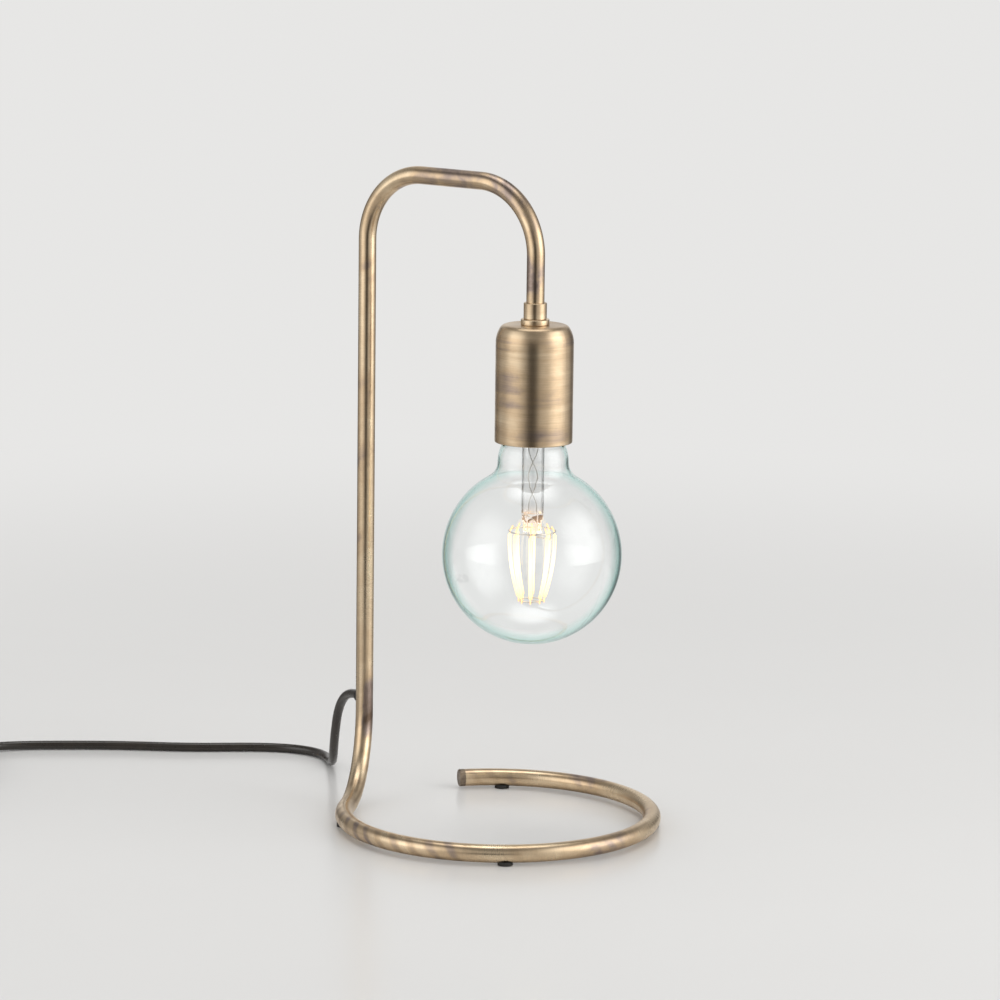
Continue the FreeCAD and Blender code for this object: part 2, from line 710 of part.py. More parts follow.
def globe_profile(offset):
    """Points of the glass from its bottom to its neck, with all walls moved inward by offset."""
    ball = globe_diameter / 2
    neck = neck_diameter / 2
    fillet_x = neck + neck_fillet
    fillet_h = math.sqrt((ball + neck_fillet) ** 2 - fillet_x ** 2)
    share = ball / (ball + neck_fillet)
    r = ball - offset
    leave = (fillet_x * share * r / ball, fillet_h * share * r / ball)
    angle = math.atan2(leave[1], leave[0])
    ball_mid = (-90 + math.degrees(angle)) / 2
    middle = (r * math.cos(math.radians(ball_mid)), r * math.sin(math.radians(ball_mid)))
    turn = math.atan2(fillet_h, fillet_x)
    fillet_r = neck_fillet + offset
    fillet_angle = math.pi + turn
    half = (fillet_angle + math.pi) / 2
    fillet_mid = (fillet_x + fillet_r * math.cos(half), fillet_h + fillet_r * math.sin(half))
    neck_start = (fillet_x - fillet_r, fillet_h)
    return middle, leave, fillet_mid, neck_start, r


def globe_glass():
    mid_o, leave_o, fil_o, neck_o, r_o = globe_profile(0)
    mid_i, leave_i, fil_i, neck_i, r_i = globe_profile(glass_wall)
    lift = lambda p: (p[0], in_globe(p[1]))
    end_o = glass_end_radius()
    end_i = end_o - glass_wall
    shoulder_z = cap_bottom_z - cap_cement_gap
    end_z = cap_bottom_z + glass_in_cap
    neck_end = (neck_end_diameter / 2, shoulder_z)
    bend_i = (end_i, shoulder_z - glass_wall)
    return turned([
        (0, in_globe(-r_o)), ("arc", lift(mid_o), lift(leave_o)), ("arc", lift(fil_o), lift(neck_o)),
        ("arc", closing_middle(lift(neck_o), neck_end), neck_end), (end_o, shoulder_z), (end_o, end_z),
        (end_i, end_z), bend_i, ("arc", closing_middle(lift(neck_i), bend_i), lift(neck_i)),
        ("arc", lift(fil_i), lift(leave_i)), ("arc", lift(mid_i), (0, in_globe(-r_i)))])


def glass_end_radius():
    return cap_core_diameter / 2 - cap_wall - cap_cement_gap


def closing_middle(start, end):
    """Middle of the arc that leaves start straight up and closes in to end."""
    inward, rise = start[0] - end[0], end[1] - start[1]
    radius = (rise ** 2 + inward ** 2) / (2 * inward)
    half = math.asin(rise / radius) / 2
    return start[0] - radius + radius * math.cos(half), start[1] + radius * math.sin(half)


def glass_stem():
    """Sealed-in tube that ends in a flat press around the lead wires."""
    r, wall = stem_tube_diameter / 2, stem_tube_wall
    top = cap_bottom_z + glass_in_cap - stem_flare_drop
    flare = glass_end_radius() - glass_wall - slip
    flare_z = top - stem_flare_height
    press_z = in_globe(press_top)
    outer_mid = (r + 0.3 * (flare - r), top - 0.3 * stem_flare_height)
    inner_mid = (r + 0.1 * (flare - r), top - 0.2 * stem_flare_height)
    tube = turned([(r - wall, press_z), (r, press_z), (r, flare_z), ("arc", outer_mid, (flare, top)),
                   (flare, top + 0.6 * wall), ("arc", inner_mid, (r - wall, flare_z))])
    low = in_globe(press_bottom)
    taper_z = low + press_taper_height
    edge = press_width / 2
    cone = turned([(0, low), (edge, low), (edge, taper_z), (r, press_z), (0, press_z)])
    half = press_thickness / 2
    waist = half + slip
    side = [(-half, low), (half, low), (waist, taper_z), (r, press_z), (-r, press_z), (-waist, taper_z)]
    points = [Vec(bulb_x - r, y, z) for y, z in side]
    wedge = Part.Face(Part.makePolygon(points + points[:1])).extrude(Vec(2 * r, 0, 0))
    stem = tube.fuse(cone.common(wedge))
    for sign in (-1, 1):
        at = Vec(bulb_x + sign * lead_wire_offset, 0, low)
        stem = stem.cut(cylinder(lead_wire_diameter / 2 + seat_gap, at, UP, press_z - low))
    return solids_of(stem)


def lead_in_wires():
    """One wire to the top ring, one down the middle to the bottom ring, twisted once inside the stem."""
    below = in_globe(press_bottom) - 4 * lead_wire_diameter
    ring_r = top_ring_radius()
    ring_edge = in_globe(top_ring_height) - ring_wire_diameter / 2
    to_top = twisted_wire(1) + [Vec(bulb_x + lead_wire_offset, 0, below), Vec(bulb_x + ring_r, 0, below),
                                Vec(bulb_x + ring_r, 0, ring_edge)]
    low = in_globe(bottom_ring_height)
    inner_edge = bottom_ring_radius() - ring_wire_diameter / 2
    to_bottom = twisted_wire(-1) + [Vec(bulb_x - lead_wire_offset, 0, below),
                                    Vec(bulb_x, 0, below - lead_wire_offset), Vec(bulb_x, 0, low),
                                    Vec(bulb_x + inner_edge, 0, low)]
    wires = []
    for points in (to_top, to_bottom):
        path, _ = rounded_path(points, [lead_bend_radius] * 2)
        wires.append(solids_of(pipe(path, lead_wire_diameter / 2)))
    return Part.makeCompound(wires)


def twisted_wire(side):
    """Points of one lead-in wire from the board down through its turn round the axis."""
    points = [Vec(bulb_x + side * lead_wire_offset, 0, board_z() - seat_gap)]
    steps = 8
    for i in range(steps + 1):
        a = 2 * math.pi * i / steps
        x, y = side * lead_wire_offset * math.cos(a), side * lead_wire_offset * math.sin(a)
        points.append(Vec(bulb_x + x, y, in_globe(twist_top + (twist_bottom - twist_top) * i / steps)))
    return points


def top_ring_radius():
    """The hoop passes just outside the filaments' upper tabs."""
    return filament_path[1][0] + filament_tab_diameter / 2 + ring_wire_diameter / 2 + seat_gap


def bottom_ring_radius():
    """The hoop passes just inside the filaments' lower tabs."""
    return filament_path[-1][0] - filament_tab_diameter / 2 - ring_wire_diameter / 2 - 2 * seat_gap


def wire_ring(radius, height):
    return Part.makeTorus(radius, ring_wire_diameter / 2, Vec(bulb_x, 0, in_globe(height)), UP)


def filament(index):
    """A bowed strip with a thin tab at each end."""
    tab_top, tab_join, top, middle, bottom, tab_bottom = [Vec(r, 0, in_globe(h)) for r, h in filament_path]
    strip = pipe([Part.Arc(top, middle, bottom).toShape()], filament_diameter / 2)
    tab_r = filament_tab_diameter / 2
    into_strip = UP * tab_r
    upper, _ = rounded_path([tab_top, tab_join, top - into_strip])
    lower = [Part.LineSegment(bottom + into_strip, tab_bottom).toShape()]
    whole = solids_of(strip.fuse([pipe(upper, tab_r), pipe(lower, tab_r)]))
    whole.rotate(Vec(0, 0, 0), UP, filament_turn + 360 / filament_count * index)
    whole.translate(Vec(bulb_x, 0, 0))
    return whole


def board_z():
    return cap_bottom_z + glass_in_cap + driver_board_gap


def bulb_driver():
    """Round circuit board with its capacitor, coil and chip, inside the cap."""
    z = board_z()
    board = cylinder(driver_board_diameter / 2, Vec(bulb_x, 0, z), UP, driver_board_thickness)
    face = z + driver_board_thickness
    centre = driver_board_diameter / 4
    capacitor = cylinder(capacitor_size[0] / 2, Vec(bulb_x - centre, 0, face), UP, capacitor_size[1])
    inductor = cylinder(inductor_size[0] / 2, Vec(bulb_x + centre, centre / 2, face), UP, inductor_size[1])
    chip_at = Vec(bulb_x + centre - chip_size[0] / 2, -centre / 2 - chip_size[1], face)
    chip = Part.makeBox(*chip_size, chip_at)
    return solids_of(board.fuse([capacitor, inductor, chip]).removeSplitter())


def driver_leads():
    """Lead to the cap's tip, and lead to its shell."""
    face = board_z() + driver_board_thickness
    r = driver_lead_diameter / 2
    room = cap_inner_top() - face
    inside = cap_core_diameter / 2 - cap_wall - r
    side_y = 0.75 * driver_board_diameter / 2
    to_tip = [Vec(bulb_x + 2 * r, 0, face), Vec(bulb_x + 2 * r, 0, face + 0.3 * room),
              Vec(bulb_x, 0, face + 0.6 * room), Vec(bulb_x, 0, cap_inner_top() - turning_gap)]
    to_side = [Vec(bulb_x, side_y, face), Vec(bulb_x, side_y, face + 0.4 * room),
               Vec(bulb_x, inside, face + 0.6 * room)]
    return Part.makeCompound([solids_of(pipe(rounded_path(lead)[0], r)) for lead in (to_tip, to_side)])


def cap_inner_top():
    """Underside of the insulator inside the cap."""
    return cap_top_z - insulator_depth


def bulb_cap_shell():
    """Thin threaded shell with a flared skirt and a rolled-in shoulder."""
    r, w = cap_core_diameter / 2, cap_wall
    z0, z1 = cap_bottom_z, cap_top_z
    lip = insulator_radius() + turning_gap
    wide, shoulder = r + cap_skirt_flare, z1 - cap_shoulder
    taper_z, core_z = z0 + cap_skirt_flare, z0 + cap_skirt_height
    wall = turned([(wide - w, z0), (wide, z0), (wide, taper_z), (r, core_z), (r, shoulder),
                   (lip + w, z1), (lip, z1), (lip, z1 - w), (r - w, shoulder - w / 2),
                   (r - w, core_z - w / 2), (wide - w, taper_z)])
    start = shell_thread_start() - thread_pitch / 2
    ridge = helical_ridge(r - thread_root, r, r + thread_depth_cap, start, thread_turns_cap)
    return solids_of(wall.fuse(ridge).removeSplitter())


def insulator_radius():
    return cap_core_diameter / 2 - cap_shoulder


def cap_insulator():
    """Black glass cone between shell and contact."""
    r, top = insulator_radius(), cap_top_z + insulator_height
    seat, hole = contact_diameter / 2, solder_hole_diameter / 2
    low = cap_inner_top()
    return turned([(hole, low), (r - insulator_depth / 2, low), (r, cap_top_z + turning_gap),
                   (seat + hole, top - hole), (seat, top), (hole, top)])


def cap_contact():
    """Domed tip of the bulb with its solder nub in the insulator's hole."""
    low = cap_top_z + insulator_height
    r, nub, crown = contact_diameter / 2, solder_hole_diameter / 2, 0.6 * contact_height
    ball = (r * r + crown * crown) / (2 * crown)
    middle = (r / 2, tip_z - ball + math.sqrt(ball * ball - r * r / 4))
    return turned([(0, cap_inner_top()), (nub, cap_inner_top()), (nub, low), (r, low), (r, tip_z - crown),
                   ("arc", middle, (0, tip_z))])


# ---- Cord
def cord_stretch(points, name):
    """Round cord on straight runs and tangent arcs; prints its radii and how its volume fits its length."""
    edges, radii = rounded_path(points)
    solid = solids_of(pipe(edges, cord_diameter / 2))
    length = sum(e.Length for e in edges)
    expected = math.pi * cord_diameter ** 2 / 4 * length
    print(name, "length", round(length, 1), "radii", [round(r, 1) for r in radii],
          "volume ratio", round(solid.Volume / expected, 5))
    return solid


def cord_to_switch():
    start = exit_point + exit_dir * cord_start
    return cord_stretch([start] + [vec(p) for p in cord_to_switch_points], "cord_to_switch")


def switch_axis():
    """Where the casing starts, on the cord's line, and its heading."""
    end, far_end = vec(cord_to_switch_points[-1]), vec(cord_to_coil_points[0])
    heading = (far_end - end).normalize()
    return end - heading * cord_in_switch, heading


def coil_frame():
    """Centre and first angle of the coil, which the cord enters on its outside, along its last run."""
    before, last = vec(cord_to_coil_points[-2]), vec(cord_to_coil_points[-1])
    heading = Vec(last.x - before.x, last.y - before.y, 0).normalize()
    outward = Vec(-heading.y, heading.x, 0)
    entry = last + heading * cord_diameter
    centre = entry - outward * coil_radius(0)
    return centre, math.atan2(outward.y, outward.x)


def coil_radius(t):
    """Radius after t turns: it shrinks and grows at one rate and turns back in the middle of each climb."""
    phase = (t - coil_first_reversal()) % (2 * coil_reversal_gap())
    return coil_least_radius + coil_pitch * min(phase, 2 * coil_reversal_gap() - phase)


def coil_reversal_gap():
    """Turns from one climb's middle to the next."""
    return (coil_turns + 0.5) / coil_layers


def coil_first_reversal():
    return coil_reversal_gap() - 0.25


def coil_point(t):
    centre, first = coil_frame()
    a = first - 2 * math.pi * t
    r = coil_radius(t)
    return Vec(centre.x + r * math.cos(a), centre.y + r * math.sin(a), coil_climb(t))


def coil_climb(t):
    """Height of the wound cord's centre line after t turns."""
    z = cord_diameter / 2
    for i in range(coil_layers - 1):
        middle = coil_first_reversal() + i * coil_reversal_gap()
        share = min(1.0, max(0.0, (t - middle + 0.25) / 0.5))
        z += coil_pitch * share * share * (3 - 2 * share)
    return z


def biarc(p0, t0, p1, t1):
    """Two tangent arcs from p0 to p1 with the given headings."""
    chord, both = p1 - p0, t0 + t1
    a = 2 * (1 - t0.dot(t1))
    b = 2 * chord.dot(both)
    c = -chord.dot(chord)
    d = (-b + math.sqrt(b * b - 4 * a * c)) / (2 * a)
    middle = (p0 + t0 * d + p1 - t1 * d) * 0.5
    return [arc_by_heading(p0, t0, middle), arc_by_heading(p1, t1 * -1, middle, True)]


def arc_by_heading(start, heading, end, reverse=False):
    chord = end - start
    along = chord * (1 / chord.Length)
    side = heading - along * heading.dot(along)
    angle = heading.getAngle(chord)
    middle = (start + end) * 0.5 + side.normalize() * (chord.Length / 2 * math.tan(angle / 2))
    if reverse:
        return Part.Arc(end, middle, start).toShape()
    return Part.Arc(start, middle, end).toShape()


def coil_heading(t):
    step = 1e-4
    return (coil_point(t + step) - coil_point(t - step)).normalize()


def coil_edges():
    steps = int(round(coil_turns * 4))
    times = [coil_turns * i / steps for i in range(steps + 1)]
    points = [coil_point(t) for t in times]
    headings = [coil_heading(t) for t in times]
    headings[0] = Vec(headings[0].x, headings[0].y, 0).normalize()
    edges = [Part.LineSegment(points[0] - headings[0] * cord_diameter, points[0]).toShape()]
    for i in range(steps):
        edges += biarc(points[i], headings[i], points[i + 1], headings[i + 1])
    edges.append(Part.LineSegment(points[-1], points[-1] + headings[-1] * cord_diameter).toShape())
    return edges


def least_self_gap(edges):
    """Smallest free space between two turns, measured on points along the cord."""
    points, lengths, run = [], [], 0.0
    for edge in edges:
        count = max(2, int(edge.Length / 1.5))
        span = edge.LastParameter - edge.FirstParameter
        for k in range(count):
            points.append(edge.valueAt(edge.FirstParameter + span * k / count))
            lengths.append(run + edge.Length * k / count)
        run += edge.Length
    least = 1e9
    for i in range(len(points)):
        for j in range(i + 1, len(points)):
            if lengths[j] - lengths[i] > 8 * cord_diameter:
                least = min(least, points[i].distanceToPoint(points[j]))
    return least - cord_diameter


def cord_coil(edges):
    solid = solids_of(pipe(edges, cord_diameter / 2))
    length = sum(e.Length for e in edges)
    expected = math.pi * cord_diameter ** 2 / 4 * length
    print("cord_coil length", round(length, 1), "least gap", round(least_self_gap(edges), 2),
          "volume ratio", round(solid.Volume / expected, 5))
    return solid


def coil_ends(edges):
    """Where the coil's straight ends begin and finish."""
    return edges[0].valueAt(edges[0].FirstParameter), edges[-1].valueAt(edges[-1].LastParameter)


# ---- Switch on the cord, built along +X from its entry and then laid in place
def lay_switch(shape):
    start, heading = switch_axis()
    shape.rotate(Vec(0, 0, 0), UP, math.degrees(math.atan2(heading.y, heading.x)))
    shape.translate(Vec(start.x, start.y, 0))
    return shape


def switch_outline(inset):
    """Long rounded outline, narrower at its ends."""
    length, half = switch_length - 2 * inset, switch_width / 2 - inset
    end_half = half - switch_end_taper
    x0, x1 = inset, inset + length
    c = switch_corner
    points = [(x0, -end_half), (x0 + c, -half), (x1 - c, -half), (x1, -end_half),
              (x1, end_half), (x1 - c, half), (x0 + c, half), (x0, end_half)]
    polygon = [Vec(x, y, 0) for x, y in points]
    return Part.Face(Part.makePolygon(polygon + polygon[:1]))


def cord_entries(shape):
    """Cut the two round cord entries, which both shells share."""
    entry_z = cord_to_switch_points[-1][2]
    r = cord_diameter / 2 + 2 * slip
    for x in (0, switch_length - cord_in_switch - slip):
        shape = shape.cut(cylinder(r, Vec(x, 0, entry_z), Vec(1, 0, 0), cord_in_switch + slip))
    return shape


def switch_shell(z0, z1, inner0, inner1):
    """One half of the casing, rounded along its outer edge."""
    outer = switch_outline(0).extrude(UP * (z1 - z0))
    outer.translate(Vec(0, 0, z0))
    outside_z = z0 if inner1 == z1 else z1
    rims = [e for e in outer.Edges if e.BoundBox.ZLength < 1e-6 and abs(e.BoundBox.ZMin - outside_z) < 1e-6]
    outer = outer.makeFillet(switch_edge_radius, rims)
    inner = switch_outline(switch_wall).extrude(UP * (inner1 - inner0))
    inner.translate(Vec(0, 0, inner0))
    return outer.cut(inner)


def switch_base():
    shell = switch_shell(0, switch_half_height, switch_wall, switch_half_height)
    for x in switch_screw_xs():
        foot = Vec(x, 0, 0)
        boss = cylinder(switch_screw_diameter / 2 + screw_boss_wall, foot, UP, screw_joint_z() - slip)
        hole = cylinder(switch_screw_diameter / 2 + slip, foot, UP, screw_joint_z())
        head = cylinder(switch_screw_head / 2 + slip, foot, UP, head_depth())
        shell = shell.fuse(boss).cut(hole).cut(head)
    return solids_of(lay_switch(cord_entries(shell).removeSplitter()))


def head_depth():
    """How deep the screws' heads sink into the base, flush below its face."""
    return switch_screw_head_height + 2 * slip


def switch_screw_xs():
    return (switch_length / 2 - switch_screw_place, switch_length / 2 + switch_screw_place)


def switch_cover():
    top = 2 * switch_half_height
    shell = switch_shell(switch_half_height, top, switch_half_height, top - switch_wall)
    middle = switch_length / 2
    half_x, half_y = rocker_length / 2 + rocker_swing_room, rocker_width / 2 + moving_gap
    window_at = Vec(middle - half_x, -half_y, top - switch_wall)
    shell = shell.cut(Part.makeBox(2 * half_x, 2 * half_y, switch_wall, window_at))
    ear_z = rocker_pin_height - ear_below_pin
    for side in (-1, 1):
        y_out = switch_width / 2 - switch_wall
        ear_at = Vec(middle - ear_width / 2, half_y if side > 0 else -y_out, ear_z)
        shell = shell.fuse(Part.makeBox(ear_width, y_out - half_y, top - switch_wall - ear_z, ear_at))
    pin_half = rocker_pin_length / 2 + slip
    pin_at = Vec(middle, -pin_half, rocker_pin_height)
    shell = shell.cut(cylinder(rocker_pin_diameter / 2 + seat_gap, pin_at, Vec(0, 1, 0), 2 * pin_half))
    for x in switch_screw_xs():
        joint = Vec(x, 0, screw_joint_z())
        boss_height = top - switch_wall / 2 - screw_joint_z()
        boss = cylinder(switch_screw_diameter / 2 + screw_boss_wall, joint, UP, boss_height)
        hole = cylinder(switch_screw_diameter / 2 + slip, joint, UP, screw_top_z() + slip - screw_joint_z())
        shell = shell.fuse(boss).cut(hole)
    return solids_of(lay_switch(cord_entries(shell).removeSplitter()))


def screw_joint_z():
    """Height at which the screw bosses of both shells meet, clear above the cord."""
    return cord_to_switch_points[-1][2] + cord_diameter / 2 + moving_gap


def screw_top_z():
    """The screws end inside the cover's bosses."""
    return 2 * switch_half_height - switch_wall - slip


def switch_rocker():
    """Rocker with two flats that meet in a shallow valley, tipped to its rest side."""
    middle, top = switch_length / 2, 2 * switch_half_height
    half = rocker_length / 2
    foot, crest = half - rocker_foot_inset, half - rocker_draft
    low, flank = rocker_pin_height - rocker_below_pin, top - rocker_flank_foot
    high = top + rocker_proud
    side = [(-half, flank), (-foot, low), (foot, low), (half, flank), (crest, high),
            (0, high - rocker_valley), (-crest, high)]
    points = [Vec(middle + x, -rocker_width / 2, z) for x, z in side]
    rocker = Part.Face(Part.makePolygon(points + points[:1])).extrude(Vec(0, rocker_width, 0))
    flats = [e for e in rocker.Edges if e.BoundBox.ZMin > top and e.BoundBox.YLength < 1e-6]
    rocker = rocker.makeFillet(rocker_edge_radius, flats)
    bore_at = Vec(middle, -rocker_width / 2, rocker_pin_height)
    bore = cylinder(rocker_pin_diameter / 2 + slip, bore_at, Vec(0, 1, 0), rocker_width)
    rocker = rocker.cut(bore)
    rocker.rotate(Vec(middle, 0, rocker_pin_height), Vec(0, 1, 0), rocker_tilt)
    return solids_of(lay_switch(rocker))


def rocker_pin():
    start = Vec(switch_length / 2, -rocker_pin_length / 2, rocker_pin_height)
    return lay_switch(cylinder(rocker_pin_diameter / 2, start, Vec(0, 1, 0), rocker_pin_length))


def switch_contacts():
    """Two fixed contact strips on the base, each with a raised contact button."""
    length, width, thickness = strip_size
    start = (switch_length - length) / 2
    strips = []
    for side in (-1, 1):
        y = side * strip_spacing / 2
        strip = Part.makeBox(*strip_size, Vec(start, y - width / 2, switch_wall))
        upright_x = start if side < 0 else start + length - thickness
        upright = Part.makeBox(thickness, width, strip_upright, Vec(upright_x, y - width / 2, switch_wall))
        button_at = Vec(switch_length / 2 - side * contact_button_place, y, switch_wall + thickness)
        button = cylinder(contact_button_diameter / 2, button_at, UP, contact_button_height)
        strips.append(solids_of(lay_switch(strip.fuse([upright, button]).removeSplitter())))
    return Part.makeCompound(strips)


def switch_screws():
    screws = []
    slot_length, slot_width, slot_depth = screw_slot
    shank_z = slip + switch_screw_head_height
    for x in switch_screw_xs():
        head = cylinder(switch_screw_head / 2, Vec(x, 0, slip), UP, switch_screw_head_height)
        shank = cylinder(switch_screw_diameter / 2, Vec(x, 0, shank_z), UP, screw_top_z() - shank_z)
        slot_at = Vec(x - slot_length / 2, -slot_width / 2, slip)
        slot = Part.makeBox(slot_length, slot_width, slot_depth, slot_at)
        screws.append(solids_of(lay_switch(head.fuse(shank).cut(slot).removeSplitter())))
    return Part.makeCompound(screws)


def cord_clamps():
    """Ribbed saddles on the base that hold the cord's ends."""
    entry_z = cord_to_switch_points[-1][2]
    length, width = saddle_size
    first = switch_wall + saddle_place
    saddles = []
    for x in (first, switch_length - first - length):
        block = Part.makeBox(length, width, entry_z - switch_wall, Vec(x, -width / 2, switch_wall))
        groove = cylinder(cord_diameter / 2 + slip, Vec(x, 0, entry_z), Vec(1, 0, 0), length)
        saddles.append(solids_of(lay_switch(block.cut(groove))))
    return Part.makeCompound(saddles)


# ---- Plug
def lay_plug(shape):
    before, last = vec(cord_to_plug_points[-2]), vec(cord_to_plug_points[-1])
    heading = Vec(last.x - before.x, last.y - before.y, 0)
    shape.rotate(Vec(0, 0, 0), UP, math.degrees(math.atan2(heading.y, heading.x)))
    shape.translate(last)
    return shape


def plug_section(x, half_width, half_height, corner):
    """A rounded rectangle across the plug."""
    w, h, c = half_width, half_height, corner
    k = c * (1 - math.sqrt(0.5))
    corners = [((w, h - c), (w - k, h - k), (w - c, h)), ((-w + c, h), (-w + k, h - k), (-w, h - c)),
               ((-w, -h + c), (-w + k, -h + k), (-w + c, -h)), ((w - c, -h), (w - k, -h + k), (w, -h + c))]
    edges = []
    for i, (a, b, d) in enumerate(corners):
        edges.append(Part.Arc(Vec(x, *a), Vec(x, *b), Vec(x, *d)).toShape())
        nxt = corners[(i + 1) % 4][0]
        edges.append(Part.LineSegment(Vec(x, *d), Vec(x, *nxt)).toShape())
    return Part.Wire(edges)


def plug_body():
    """Flat moulded body: wide front, waist and a round tail for the cord."""
    tail, neck = plug_tail_end / 2, plug_neck_diameter / 2
    w, h = plug_width / 2, plug_thickness / 2
    sections = [plug_section(0, tail, tail, plug_tail_corner),
                plug_section(plug_neck_place, neck, neck, plug_tail_corner),
                plug_section(plug_waist_place, w - plug_waist_inset, h - plug_waist_drop, plug_corner),
                plug_section(plug_length - plug_front_length, w, h, plug_corner),
                plug_section(plug_length, w, h, plug_corner)]
    body = Part.makeLoft(sections, True, True)
    for side in (-1, 1):
        at = Vec(plug_length - plug_pin_root, side * plug_pin_spacing / 2, 0)
        body = body.cut(cylinder(plug_root_diameter / 2 + slip, at, Vec(1, 0, 0), plug_pin_root))
    return solids_of(lay_plug(body))


def plug_pins():
    pins = []
    for side in (-1, 1):
        at = Vec(plug_length - plug_pin_root, side * plug_pin_spacing / 2, 0)
        face = Vec(plug_length, side * plug_pin_spacing / 2, 0)
        pin = cylinder(plug_pin_diameter / 2, face, Vec(1, 0, 0), plug_pin_length)
        tip_x = plug_length + plug_pin_length
        tip = [e for e in pin.Edges if e.Closed and abs(e.BoundBox.XMin - tip_x) < 1e-6]
        root = cylinder(plug_root_diameter / 2, at, Vec(1, 0, 0), plug_pin_root)
        pins.append(solids_of(lay_plug(pin.makeFillet(plug_tip_round, tip).fuse(root))))
    return Part.makeCompound(pins)


# ---- Build every node
def build_lamp():
    export(lamp_tube(), "lamp_tube")
    export(tube_end_cap(), "tube_end_cap")
    export(foot_pads(), "foot_pads")
    export(cable_bush(), "cable_bush")
    export(tube_collar(), "tube_collar")
    export(check_washer(), "check_washer")
    export(holder_cover(), "holder_cover")
    export(threaded_nipple(), "threaded_nipple")
    export(nipple_locknut(), "nipple_locknut")
    export(toothed_washer(), "toothed_washer")
    export(holder_dome(), "holder_dome")
    export(dome_grub_screw(), "dome_grub_screw")
    export(terminal_block(), "terminal_block")
    export(terminal_posts(), "terminal_posts")
    export(terminal_screws(), "terminal_screws")
    export(thread_shell(), "thread_shell")
    export(shell_strap(), "shell_strap")
    export(centre_contact_spring(), "centre_contact_spring")
    export(holder_skirt(), "holder_skirt")
    export(inner_core(1), "live_core")
    export(inner_core(-1), "neutral_core")


def build_bulb():
    export(globe_glass(), "globe_glass")
    export(glass_stem(), "glass_stem")
    export(lead_in_wires(), "lead_in_wires")
    export(wire_ring(top_ring_radius(), top_ring_height), "top_ring")
    export(wire_ring(bottom_ring_radius(), bottom_ring_height), "bottom_ring")
    for index in range(filament_count):
        export(filament(index), "filament_" + str(index + 1))
    export(bulb_driver(), "bulb_driver")
    export(driver_leads(), "driver_leads")
    export(bulb_cap_shell(), "bulb_cap_shell")
    export(cap_insulator(), "cap_insulator")
    export(cap_contact(), "cap_contact")


def build_cord():
    export(cord_to_switch(), "cord_to_switch")
    export(switch_base(), "switch_base")
    export(switch_cover(), "switch_cover")
    export(switch_rocker(), "switch_rocker")
    export(rocker_pin(), "rocker_pin")
    export(switch_contacts(), "switch_contacts")
    export(switch_screws(), "switch_screws")
    export(cord_clamps(), "cord_clamps")
    edges = coil_edges()
    coil_start, coil_end = coil_ends(edges)
    to_coil = [vec(p) for p in cord_to_coil_points[:-1]] + [coil_start]
    export(cord_stretch(to_coil, "cord_to_coil"), "cord_to_coil")
    export(cord_coil(edges), "cord_coil")
    to_plug = [coil_end] + [vec(p) for p in cord_to_plug_points]
    export(cord_stretch(to_plug, "cord_to_plug"), "cord_to_plug")
    export(plug_body(), "plug_body")
    export(plug_pins(), "plug_pins")


build_lamp()
build_bulb()
build_cord()
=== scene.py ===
"""Looks of a bare bulb table lamp, in metres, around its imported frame.

The brass tube, its cup, the lit globe bulb, the cord with its switch, coil and plug, a pale floor, studio
light and the camera at the photograph's viewing angle.
"""
import math

import bmesh
import bpy
from mathutils import Matrix, Vector

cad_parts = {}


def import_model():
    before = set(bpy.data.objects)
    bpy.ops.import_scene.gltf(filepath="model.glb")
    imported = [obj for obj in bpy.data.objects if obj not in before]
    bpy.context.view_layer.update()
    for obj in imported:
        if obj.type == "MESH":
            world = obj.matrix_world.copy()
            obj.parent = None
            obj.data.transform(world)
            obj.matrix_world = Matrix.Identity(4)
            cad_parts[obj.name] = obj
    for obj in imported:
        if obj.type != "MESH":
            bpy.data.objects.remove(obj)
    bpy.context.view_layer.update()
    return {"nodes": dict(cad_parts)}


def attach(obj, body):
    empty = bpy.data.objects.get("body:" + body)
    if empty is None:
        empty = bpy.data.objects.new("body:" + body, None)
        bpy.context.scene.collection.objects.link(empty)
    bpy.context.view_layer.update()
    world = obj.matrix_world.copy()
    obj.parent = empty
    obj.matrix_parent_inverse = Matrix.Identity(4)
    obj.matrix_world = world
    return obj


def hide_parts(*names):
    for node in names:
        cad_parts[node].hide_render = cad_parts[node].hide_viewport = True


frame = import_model()
nodes = frame["nodes"]

MM = 0.001
UP = Vector((0, 0, 1))
FULL_TURN = 2 * math.pi

# ---- Sizes of the bent tube, as in the frame
TUBE_RADIUS = 4.75 * MM
TUBE_WALL = 1.0 * MM
RING_RADIUS = 82.5 * MM
RING_SWEEP = math.radians(293)
FOOT_BEND = 44.0 * MM
ARCH_BEND = 37.0 * MM
TOP_Z = 345.25 * MM
ARM_REACH = 114.0 * MM
DROP_END_Z = 279.25 * MM
RING_Z = 5.95 * MM
STEM_OFFSET = math.hypot(RING_RADIUS, FOOT_BEND)
RING_X = (STEM_OFFSET - RING_RADIUS) / 2
STEM_X = RING_X - STEM_OFFSET
BULB_X = STEM_X + ARM_REACH
TUBE_SIDES = 48
TUBE_STEP = 1.5 * MM             # between rings of vertices in a bend
RING_TURNS = [FULL_TURN * k / TUBE_SIDES for k in range(TUBE_SIDES)]

# ---- Cable exit in the stem
EXIT_ANGLE = math.radians(152.2)
EXIT_HEIGHT = 56.0 * MM
EXIT_HOLE_RADIUS = 3.3 * MM
EXIT_HOLE_SIDES = 32
EXIT_DIR = Vector((math.cos(EXIT_ANGLE), math.sin(EXIT_ANGLE), 0))

